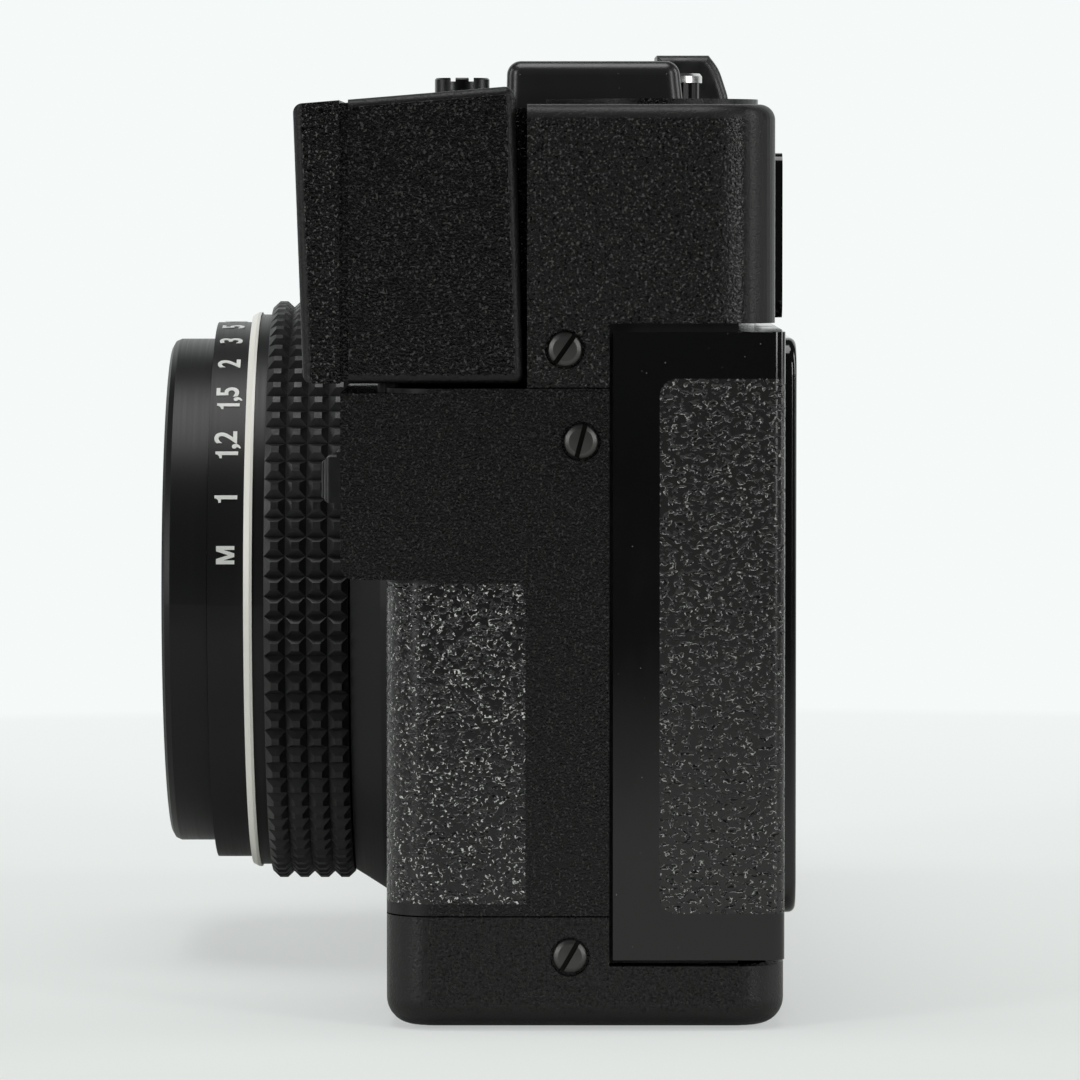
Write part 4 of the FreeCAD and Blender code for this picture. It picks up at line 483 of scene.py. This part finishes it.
def leatherette(name, scale, level, plateau, depth, painted_rim_glint):
    """Flat tops broken by wavy dimples, painted darker in their depths as shade, with painted glints here and
    there on their rims.
    """
    material = start_finish(name, (level, level, level), roughness=0.2, specular=0.55)
    dimples = noise(material, scale, SKIN_DETAIL, place(material, SKIN_STRETCH), SKIN_WOBBLE)
    # Painted glints: a pale tone on part of the dimples' rims.
    painted_glint_rims = mixed(material, "MULTIPLY", spread(material, dimples, *RIM_FOOT),
                 spread(material, dimples, plateau + RIM_EDGE, plateau - RIM_EDGE))
    painted_glint_rims = mixed(material, "MULTIPLY", painted_glint_rims,
                 spread(material, noise(material, scale * GLINT_SCALE, GLINT_DETAIL), *GLINT_RANGE))
    # Painted shade: the dimples darken towards their depths.
    tops_and_dimple_shade = mixed(material, "MULTIPLY", spread(material, dimples, *DIMPLE_SHADE_RANGE), 0.5)
    tones(material, mixed(material, "ADD", tops_and_dimple_shade, mixed(material, "MULTIPLY", painted_glint_rims, 0.5)),
          [(0.0, DIMPLE_SHADE), (0.5, level), (0.8, level * PAINTED_RIM_TONE), (1.0, painted_rim_glint)])
    relief(material, mixed(material, "MINIMUM", dimples, plateau), depth)
    return material


skin = leatherette("front_leatherette", scale=2100, level=0.004, plateau=0.53, depth=0.00050, painted_rim_glint=0.70)
door_leather = leatherette("door_leatherette", scale=1600, level=0.015, plateau=0.49, depth=0.00066,
                           painted_rim_glint=0.85)
print("leatherettes", skin.name, door_leather.name)

# %% [markdown]
# ## Glossy and plain black plastic
#
# The door, its raised panel, the finder hump and the eyepiece are polished black plastic with faint
# handling marks and a little dust. Both could be painted on each piece. Instead a soft noise dulls the
# gloss in streaks, and the few highest peaks of a fine one are the dust. The slider, knob and lever tip
# are smooth but duller, and the grip and the light seals are rubber and foam.

# %% Black plastics
MARK_SCALE, MARK_DETAIL, MARK_STRETCH = 260, 4.0, (1, 1, 0.35)
MARK_GLOSS = 0.08
DUST = (0.16, 0.16, 0.155)
DUST_SCALE, DUST_DETAIL, DUST_RANGE = 2600, 1.0, (0.79, 0.81)
WAVE_SCALE, WAVE_DETAIL, WAVE_DEPTH, WAVE_STRENGTH = 90, 1.0, 0.00003, 0.4
DULL_WEAR_SCALE, DULL_WEAR = 700, (-0.07, 0.09)
DULL_GRAIN_SCALE = 2600


def gloss_black(name, level, roughness):
    material = start_finish(name, (level, level, level), roughness, specular=0.5)
    marks = noise(material, MARK_SCALE, MARK_DETAIL, place(material, MARK_STRETCH))
    link(material, spread(material, marks, *UPPER, roughness, roughness + MARK_GLOSS),
         shader_socket(material, "Roughness"))
    dust = spread(material, noise(material, DUST_SCALE, DUST_DETAIL), *DUST_RANGE)
    tint(material, dust, (level, level, level), DUST)
    relief(material, noise(material, WAVE_SCALE, WAVE_DETAIL), WAVE_DEPTH, WAVE_STRENGTH)
    return material


def dull_black(name, colour, roughness, grain_depth):
    material = start_finish(name, colour, roughness, specular=0.45)
    worn_roughness(material, DULL_WEAR_SCALE, *(roughness + change for change in DULL_WEAR))
    relief(material, noise(material, DULL_GRAIN_SCALE), grain_depth)
    return material


polished = gloss_black("polished_black", level=0.004, roughness=0.06)
hump_black = gloss_black("hump_black", level=0.016, roughness=0.3)
moulded = dull_black("moulded_black", (0.012, 0.012, 0.0125), roughness=0.38, grain_depth=0.00002)
chassis_black = dull_black("chassis_black", (0.014, 0.014, 0.014), roughness=0.6, grain_depth=0.00004)
foam = dull_black("seal_foam", (0.012, 0.012, 0.012), roughness=0.95, grain_depth=0.00015)
grip_rubber = dull_black("grip_rubber", (0.010, 0.010, 0.0102), roughness=0.44, grain_depth=0.00003)
print("black plastics, foam and rubber made")

# %% [markdown]
# ## Turned and satin metal
#
# The lens rings are black-coated metal, turned on a lathe, so their fine lines run round the lens. An
# anisotropic shader could give the same sheen, but a noise drawn out round the axis also shows the
# lines. The small metal parts have a brushed, satin surface.

# %% Metal helpers
TURNED_SCALE, TURNED_DETAIL, TURNED_STRETCH = 120, 3.0, (0.4, 60, 0.4)
TURNED_RANGE = (0.3, 0.7)
TURNED_WEAR = (-0.03, 0.04)
TURNED_DEPTH, TURNED_STRENGTH = 0.000002, 0.5
SATIN_WEAR_SCALE, SATIN_WEAR = 2200, (-0.02, 0.03)
SATIN_SCALE, SATIN_DEPTH, SATIN_STRENGTH = 1800, 0.0000015, 0.7


def turned_metal(name, colour, roughness, metallic, specular=0.5):
    """Fine lines round the lens axis, which runs along Y."""
    material = start_finish(name, colour, roughness, metallic, specular)
    lines = noise(material, TURNED_SCALE, TURNED_DETAIL, place(material, TURNED_STRETCH))
    link(material, spread(material, lines, *TURNED_RANGE, *(roughness + change for change in TURNED_WEAR)),
         shader_socket(material, "Roughness"))
    relief(material, lines, TURNED_DEPTH, TURNED_STRENGTH)
    return material


def satin_metal(name, colour, roughness, stretch=EVEN):
    material = start_finish(name, colour, roughness, 1.0)
    worn_roughness(material, SATIN_WEAR_SCALE, *(roughness + change for change in SATIN_WEAR), stretch)
    relief(material, noise(material, SATIN_SCALE, at=place(material, stretch)), SATIN_DEPTH, SATIN_STRENGTH)
    return material


print("metal helpers ready")

# %% [markdown]
# ## Painted shade in the side screws
#
# The slots of the screws in the camera's ends are painted dark, as painted shade. The slots are the lowest
# part of each head, so the distance from the middle of the camera picks them out.

# %% Slotted steel
SLOT_FLOOR = 0.06461
SLOT_WALL = 0.0001
# Tone of the painted shade in the slots.
SLOT_SHADE = (0.014, 0.014, 0.013)


def slotted_steel(name, colour, roughness):
    """Screws in both ends of the camera, with painted shade where their slots lie deepest."""
    material = satin_metal(name, colour, roughness, (1, 5, 1))
    outward = mixed(material, "ABSOLUTE", axes(material, place(material))["X"], 0.0)
    # Painted shade in the slots.
    tint(material, spread(material, outward, SLOT_FLOOR, SLOT_FLOOR + SLOT_WALL), SLOT_SHADE, colour)
    return material


print("side screws are dark within", SLOT_FLOOR, "m of the middle")

# %% [markdown]
# ## Metals
#
# The lens rings are black, with one cream ring among them, and the screws are blackened steel. The small
# parts on top are bright, and the shafts and levers are plain satin steel, brushed along one axis. Each
# part could have a shader of its own, but most are a few millimetres across, so one helper with a tone
# for each of them is enough.

# %% Metals
ring_black = turned_metal("ring_black", (0.009, 0.009, 0.0093), roughness=0.36, metallic=0.0, specular=0.26)
cream = turned_metal("cream_ring", (0.90, 0.89, 0.82), roughness=0.34, metallic=0.0)
bright = satin_metal("bright_metal", (0.58, 0.58, 0.57), roughness=0.22)
satin_black = satin_metal("satin_black_metal", (0.035, 0.035, 0.036), roughness=0.30)
steel = satin_metal("satin_steel", (0.52, 0.52, 0.52), roughness=0.30, stretch=(1, 1, 6))
screw_steel = satin_metal("blackened_steel", (0.10, 0.10, 0.098), roughness=0.34, stretch=(1, 5, 1))
side_screw_steel = slotted_steel("slotted_steel", (0.095, 0.095, 0.092), roughness=0.42)
spring_steel = satin_metal("spring_steel", (0.40, 0.41, 0.43), roughness=0.24)
brass = satin_metal("tripod_bush_metal", (0.62, 0.60, 0.55), roughness=0.28)
mirror = satin_metal("flash_mirror", (0.86, 0.86, 0.87), roughness=0.08)
print("metals made")

# %% [markdown]
# ## Glass
#
# The lens elements carry a faint violet coating, and the finder windows are clear. The coating could be
# a layer with colours of its own, but tinting the glass's reflection shows the same violet. The flash
# window is ribbed like a small fresnel lens to spread the light, which a wave in the bump shows.

# %% Glass
GLASS_IOR = 1.5
HAZE_SCALE, HAZE_GLOSS = 140, 0.02
PANE_RIB_SCALE, PANE_RIB_DEPTH = 300, 0.0002


def clear_glass(name, colour, roughness=0.01, coat_tint=None):
    material = start_finish(name, colour, roughness)
    shader_socket(material, "Transmission Weight").default_value = 1.0
    shader_socket(material, "IOR").default_value = GLASS_IOR
    if coat_tint:
        shader_socket(material, "Specular Tint").default_value = (*coat_tint, 1.0)
    haze = noise(material, HAZE_SCALE)
    link(material, spread(material, haze, *UPPER, roughness, roughness + HAZE_GLOSS),
         shader_socket(material, "Roughness"))
    return material


lens_glass = clear_glass("coated_glass", (0.97, 0.97, 1.0), roughness=0.0, coat_tint=(0.62, 0.45, 1.0))
finder_glass = clear_glass("finder_glass", (0.94, 0.96, 0.96))
tube_glass = clear_glass("flash_tube_glass", (0.95, 0.96, 0.95))
flash_pane = clear_glass("flash_pane", (0.96, 0.96, 0.95), roughness=0.06)
pane_ribs = add_node(flash_pane, "ShaderNodeTexWave", wave_type="BANDS", bands_direction="X",
                     wave_profile="SIN")
pane_ribs.inputs["Scale"].default_value = PANE_RIB_SCALE
link(flash_pane, place(flash_pane), pane_ribs.inputs["Vector"])
relief(flash_pane, pane_ribs.outputs["Fac"], PANE_RIB_DEPTH)
print("glass made")

# %% [markdown]
# ## Which solid gets which finish
#
# A solid whose shape is right stays as it is and only takes a finish. Each could be set in its own cell.
# One list that goes by finish shows at a glance what is made of the same stuff, and the last lines make
# sure that no solid is missed.

# %% Finishes on the solids
FINISHES = {
    cover_plastic: ["top_cover"],
    base_plastic: ["bottom_cover"],
    shell_plastic: ["body_shell"],
    flash_plastic: ["flash_housing"],
    bezel_plastic: ["flash_bezel"],
    skin: ["left_front_skin", "right_front_skin"],
    door_leather: ["door_skin"],
    polished: ["back_door", "door_panel", "eyepiece_frame"],
    hump_black: ["finder_hump"],
    moulded: ["flash_release", "lever_tip", "crank_knob", "battery_cover", "counter_dial"],
    chassis_black: ["film_chassis", "takeup_spool", "flash_posts"],
    foam: ["light_seals"],
    grip_rubber: ["focus_grip"],
    ring_black: ["front_ring", "trim_ring", "lens_flange", "distance_ring", "lens_cell", "rear_cell",
                 "film_dial"],
    cream: ["white_ring"],
    side_screw_steel: ["side_screws"],
    screw_steel: ["bottom_screws"],
    bright: ["film_dial_cap", "lever_cap"],
    satin_black: ["shutter_button", "button_collar", "rewind_disc"],
    steel: ["hinge_pin", "rewind_shaft", "shaft_clip", "door_latch", "advance_lever", "rewind_release",
            "crank_arm", "sprocket_drum", "pressure_plate"],
    spring_steel: ["pressure_spring", "shutter_plate", "shutter_blade_upper", "shutter_blade_lower"],
    brass: ["tripod_bush"],
    mirror: ["flash_reflector"],
    lens_glass: ["front_element", "rear_element"],
    finder_glass: ["finder_window", "eyepiece_lens", "counter_window", "meter_window"],
    tube_glass: ["flash_tube"],
    flash_pane: ["flash_window"],
}
for finish, names in FINISHES.items():
    for name in names:
        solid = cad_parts[name]
        solid.data.materials.clear()
        solid.data.materials.append(finish)
bare = set(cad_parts) - {name for names in FINISHES.values() for name in names}
print("solids with no finish:", sorted(bare))

# %% [markdown]
# ## Paint for the figures
#
# On the real parts the figures are engraved and filled with paint, or pad-printed. Either way the paint
# is matt with a slight unevenness, so both tones come from one helper.

# %% Figure paints
PAINT_WEAR_SCALE, PAINT_WEAR = 900, (0.42, 0.6)
PAINT_GRAIN_SCALE, PAINT_GRAIN_DEPTH = 3000, 0.000008


def figure_paint(name, colour):
    material = start_finish(name, colour, roughness=0.5)
    worn_roughness(material, PAINT_WEAR_SCALE, *PAINT_WEAR)
    relief(material, noise(material, PAINT_GRAIN_SCALE), PAINT_GRAIN_DEPTH)
    return material


white_paint = figure_paint("scale_paint", (0.86, 0.88, 0.84))
black_paint = figure_paint("dial_paint", (0.012, 0.012, 0.012))
print("paints", white_paint.name, black_paint.name)

# %% [markdown]
# ## Characters
#
# The scale, the dials and the frame counter carry plain figures. Each could be drawn by hand, but most
# of them look right when they are typed as text and made a mesh. The type's own one is a bare bar and
# its M is thin, so these two are drawn: a disc is pulled, corner by corner, to the outline.

# %% Characters
DRAWN = {
    "1": ((-0.07, -0.5), (0.11, -0.5), (0.11, 0.5), (-0.02, 0.5), (-0.05, 0.40), (-0.12, 0.34),
          (-0.23, 0.32), (-0.23, 0.21), (-0.07, 0.21)),
    "M": ((-0.50, -0.5), (-0.29, -0.5), (-0.29, 0.10), (-0.10, -0.5), (0.10, -0.5), (0.29, 0.10),
          (0.29, -0.5), (0.50, -0.5), (0.50, 0.5), (0.21, 0.5), (0.0, -0.16), (-0.21, 0.5), (-0.50, 0.5)),
}
TYPE_SIZE = 1.38
PAINT_DEPTH = 0.00004
SAME_SPOT = 0.000001


def extruded(depth):
    """Gives the flat active object a thickness, with its faces outwards."""
    bpy.ops.object.mode_set(mode="EDIT")
    bpy.ops.mesh.select_all(action="SELECT")
    bpy.ops.mesh.extrude_region_move(TRANSFORM_OT_translate={"value": (0, 0, depth)})
    bpy.ops.mesh.select_all(action="SELECT")
    bpy.ops.mesh.normals_make_consistent(inside=False)
    bpy.ops.object.mode_set(mode="OBJECT")
    return bpy.context.object


def drawn(outline, height):
    bpy.ops.mesh.primitive_circle_add(vertices=len(outline), fill_type="NGON")
    for vert, (across, up) in zip(bpy.context.object.data.vertices, outline):
        vert.co = (across * height, up * height, 0)
    return extruded(PAINT_DEPTH)


def typed(character, height, bold):
    bpy.ops.object.text_add()
    label = bpy.context.object
    label.data.body = character
    label.data.align_x = "CENTER"
    label.data.align_y = "CENTER"
    label.data.size = height * TYPE_SIZE
    label.data.offset = bold
    label.data.extrude = PAINT_DEPTH
    bpy.ops.object.convert(target="MESH")
    bpy.ops.object.mode_set(mode="EDIT")
    bpy.ops.mesh.select_all(action="SELECT")
    bpy.ops.mesh.remove_doubles(threshold=SAME_SPOT)
    bpy.ops.object.mode_set(mode="OBJECT")
    return bpy.context.object


print("drawn characters:", ", ".join(DRAWN))

# %% [markdown]
# ## Lines of figures
#
# A line such as 1,5 is several characters. Typed as one text it would space the drawn ones badly, so
# each character takes its own step along the line, and the line is then joined into one mesh. Every new
# piece gets its name, its finish and the body that it moves with in the same way.

# %% Lines of figures
ADVANCE = {"1": 0.52, ",": 0.24, "M": 0.9}
USUAL_ADVANCE = 0.70


def lettering(text, height, bold=0.0):
    """One mesh that holds a line of figures, centred on the origin and facing up."""
    steps = [ADVANCE.get(character, USUAL_ADVANCE) * height for character in text]
    at = -sum(steps) / 2
    made = []
    for character, step in zip(text, steps):
        bpy.ops.object.select_all(action="DESELECT")
        outline = DRAWN.get(character)
        glyph = drawn(outline, height) if outline else typed(character, height, bold)
        for vert in glyph.data.vertices:
            vert.co.x += at + step / 2
        made.append(glyph)
        at += step
    bpy.ops.object.select_all(action="DESELECT")
    for glyph in made:
        glyph.select_set(True)
    bpy.context.view_layer.objects.active = made[0]
    if len(made) > 1:
        bpy.ops.object.join()
    return bpy.context.object


def finished(piece, name, material, body):
    piece.name = name
    piece.data.materials.clear()
    piece.data.materials.append(material)
    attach(piece, body)
    return piece


print("lettering tools ready")

# %% [markdown]
# ## Distance scale
#
# White distances in metres are filled into the ring ahead of the cream line. They read upwards from
# the photographer's left side, with their tops towards the front of the lens. They could be an image on
# the ring, but a mesh stays sharp up close. Each line of figures is wrapped round the ring, a hair proud
# of it.

# %% Numerals on the distance ring
LENS_Z = 0.0321
RING_RADIUS = 0.0243
RING_LOW, RING_HIGH = -0.03515, -0.03835
NUMERALS = [("M", 10.4), ("1", 22.6), ("1,2", 34.9), ("1,5", 47.5), ("2", 59.0), ("3", 69.6), ("5", 80.1),
            ("10", 92.0)]
NUMERAL_HEIGHT = 0.0020
LETTER_SHARE = 0.80
NUMERAL_LIFT = 0.00002
NUMERAL_BOLD = 0.00005

for text, angle in NUMERALS:
    numeral = lettering(text, NUMERAL_HEIGHT * (LETTER_SHARE if text == "M" else 1.0), NUMERAL_BOLD)
    for vert in numeral.data.vertices:
        across, up, out = vert.co
        turn = radians(angle) + across / RING_RADIUS
        reach = RING_RADIUS + NUMERAL_LIFT + out
        vert.co = (reach * cos(turn), (RING_LOW + RING_HIGH) / 2 - up, LENS_Z + reach * sin(turn))
    finished(numeral, "numeral_" + text.replace(",", "_"), white_paint, "focus_ring")
print(len(NUMERALS), "numerals on the distance ring")

# %% [markdown]
# ## Dial and frame counter
#
# The bright cap of the small dial is printed with film speeds, and the counter wheel under its window
# carries frame numbers. Both read from outside the ring. Each figure could be turned as an object, but
# its place has to end up in its mesh, so its corners are turned to their own place on the ring.

# %% Figures on the top plate
def figures_round(prefix, figures, height, radius, node, material, body):
    low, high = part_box(node)
    middle = (Vector(low) + Vector(high)) / 2
    for number, text in enumerate(figures):
        turn = 2 * pi * number / len(figures)
        figure = lettering(text, height)
        for vert in figure.data.vertices:
            across, up, out = vert.co
            up += radius
            vert.co = (middle.x + across * cos(turn) + up * sin(turn),
                       middle.y + up * cos(turn) - across * sin(turn), high[2] + out)
        finished(figure, f"{prefix}_{text}", material, body)


figures_round("speed", ("25", "50", "100", "200", "400"), height=0.0010, radius=0.0033,
              node="film_dial_cap", material=black_paint, body="setting_dial")
figures_round("frame", ("1", "12", "24", "36"), height=0.0012, radius=0.0021,
              node="counter_dial", material=white_paint, body="counter_wheel")
print("figures on the dial and the counter")

# %% [markdown]
# ## Filter thread
#
# The front ring is cut inside with a fine thread for filters, too small for the solids. A real thread is
# one long helix. At this pitch separate rings look the same, so one crest is made and repeated. A circle
# is drawn inwards and out again to a V section, and its two rims are joined.

# %% Filter thread
THREAD_RADIUS = 0.02168
THREAD_WIRE = 0.00014
THREAD_CORNERS = 128
THREAD_PITCH = 0.00055
THREAD_TURNS = 5
THREAD_SETBACK = 2


def thread_crest(start):
    """A ring with a V section that points at the lens axis, drawn from one circle."""
    root, tip = THREAD_RADIUS + THREAD_WIRE, THREAD_RADIUS - THREAD_WIRE
    bpy.ops.object.select_all(action="DESELECT")
    bpy.ops.mesh.primitive_circle_add(vertices=THREAD_CORNERS, radius=root, rotation=(radians(90), 0, 0),
                                      location=(0, start, LENS_Z))
    bpy.ops.object.transform_apply(location=True, rotation=True, scale=True)
    bpy.ops.object.mode_set(mode="EDIT")
    bpy.ops.mesh.select_mode(type="EDGE")
    bpy.ops.mesh.select_all(action="SELECT")
    for share in (tip / root, root / tip):
        bpy.ops.mesh.extrude_region_move(TRANSFORM_OT_translate={"value": (0, THREAD_WIRE, 0)})
        bpy.ops.transform.resize(value=(share, 1, share), center_override=(0, start, LENS_Z))
    bpy.ops.mesh.select_all(action="DESELECT")
    bpy.ops.mesh.select_non_manifold()
    bpy.ops.mesh.bridge_edge_loops()
    bpy.ops.mesh.select_all(action="SELECT")
    bpy.ops.mesh.normals_make_consistent(inside=False)
    bpy.ops.mesh.select_mode(type="VERT")
    bpy.ops.object.mode_set(mode="OBJECT")
    return bpy.context.object


def copied(first, shift):
    """A copy with its own mesh, moved by its vertices so that it stays at the origin."""
    twin = first.copy()
    twin.data = first.data.copy()
    scene.collection.objects.link(twin)
    for vert in twin.data.vertices:
        vert.co += Vector(shift)
    return twin


def repeated(first, stem, count, step, material, body):
    """The first piece of a row and its numbered copies, at equal steps."""
    finished(first, f"{stem}_1", material, body)
    for number in range(1, count):
        finished(copied(first, [number * along for along in step]), f"{stem}_{number + 1}", material, body)


front_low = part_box("front_ring")[0]
repeated(thread_crest(front_low[1] + THREAD_SETBACK * THREAD_PITCH), "thread", THREAD_TURNS,
         (0, THREAD_PITCH, 0), ring_black, "lens_unit")
print(THREAD_TURNS, "crests of the filter thread")

# %% [markdown]
# ## Ribs on the flash slider
#
# A fingertip needs ribs to push the slider that releases the flash. They could be cut into the solid,
# but nothing is fastened to them, so they are added here. A rib is a block with rounded edges, made
# once and repeated across the slider.

# %% Slider ribs
RIB_ROUND = 0.3
RIB_SEGMENTS = 3
SLIDER_RIB = (0.0004, 0.0004, 0.0030)
SLIDER_RIBS = 4
SLIDER_PITCH = 0.0011


def rib(size, middle):
    bpy.ops.object.select_all(action="DESELECT")
    bpy.ops.mesh.primitive_cube_add(size=1, location=middle)
    made = bpy.context.object
    made.scale = size
    bpy.ops.object.transform_apply(location=True, rotation=False, scale=True)
    edge = made.modifiers.new("edge", "BEVEL")
    edge.width = min(size) * RIB_ROUND
    edge.segments = RIB_SEGMENTS
    bpy.ops.object.modifier_apply(modifier="edge")
    return made


slider_low, slider_high = (Vector(corner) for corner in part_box("flash_release"))
slider_middle = (slider_low + slider_high) / 2
first_x = slider_middle.x - SLIDER_PITCH * (SLIDER_RIBS - 1) / 2
repeated(rib(SLIDER_RIB, (first_x, slider_low.y, slider_middle.z)), "slider_rib", SLIDER_RIBS,
         (SLIDER_PITCH, 0, 0), moulded, "flash_slider")
print(SLIDER_RIBS, "ribs on the slider")

# %% [markdown]
# ## Ribs and arrow on the battery lid
#
# The battery lid slides open under a thumb, so it has ribs to push on and an arrow that shows the way.
# The arrow could be typed as a sign, but a disc with three corners, given a thickness, already is one.

# %% Battery lid
LID_RIB = (0.0006, 0.0070, 0.0002)
LID_RIBS = 4
LID_PITCH = 0.0014
LID_RIB_START = 0.006
ARROW_RADIUS = 0.0018
ARROW_BACK = 0.002
ARROW_SINK = 0.00006
ARROW_DEPTH = 0.0001

lid_low, lid_high = (Vector(corner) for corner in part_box("battery_cover"))
lid_middle = (lid_low + lid_high) / 2
repeated(rib(LID_RIB, (lid_middle.x + LID_RIB_START, lid_middle.y, lid_low.z)), "lid_rib", LID_RIBS,
         (LID_PITCH, 0, 0), moulded, "battery_lid")
bpy.ops.object.select_all(action="DESELECT")
bpy.ops.mesh.primitive_circle_add(vertices=3, radius=ARROW_RADIUS, fill_type="NGON",
                                  rotation=(0, 0, radians(-90)),
                                  location=(lid_middle.x - ARROW_BACK, lid_middle.y, lid_low.z - ARROW_SINK))
bpy.ops.object.transform_apply(location=True, rotation=True, scale=True)
finished(extruded(ARROW_DEPTH), "lid_arrow", moulded, "battery_lid")
print(LID_RIBS, "ribs and an arrow on the battery lid")
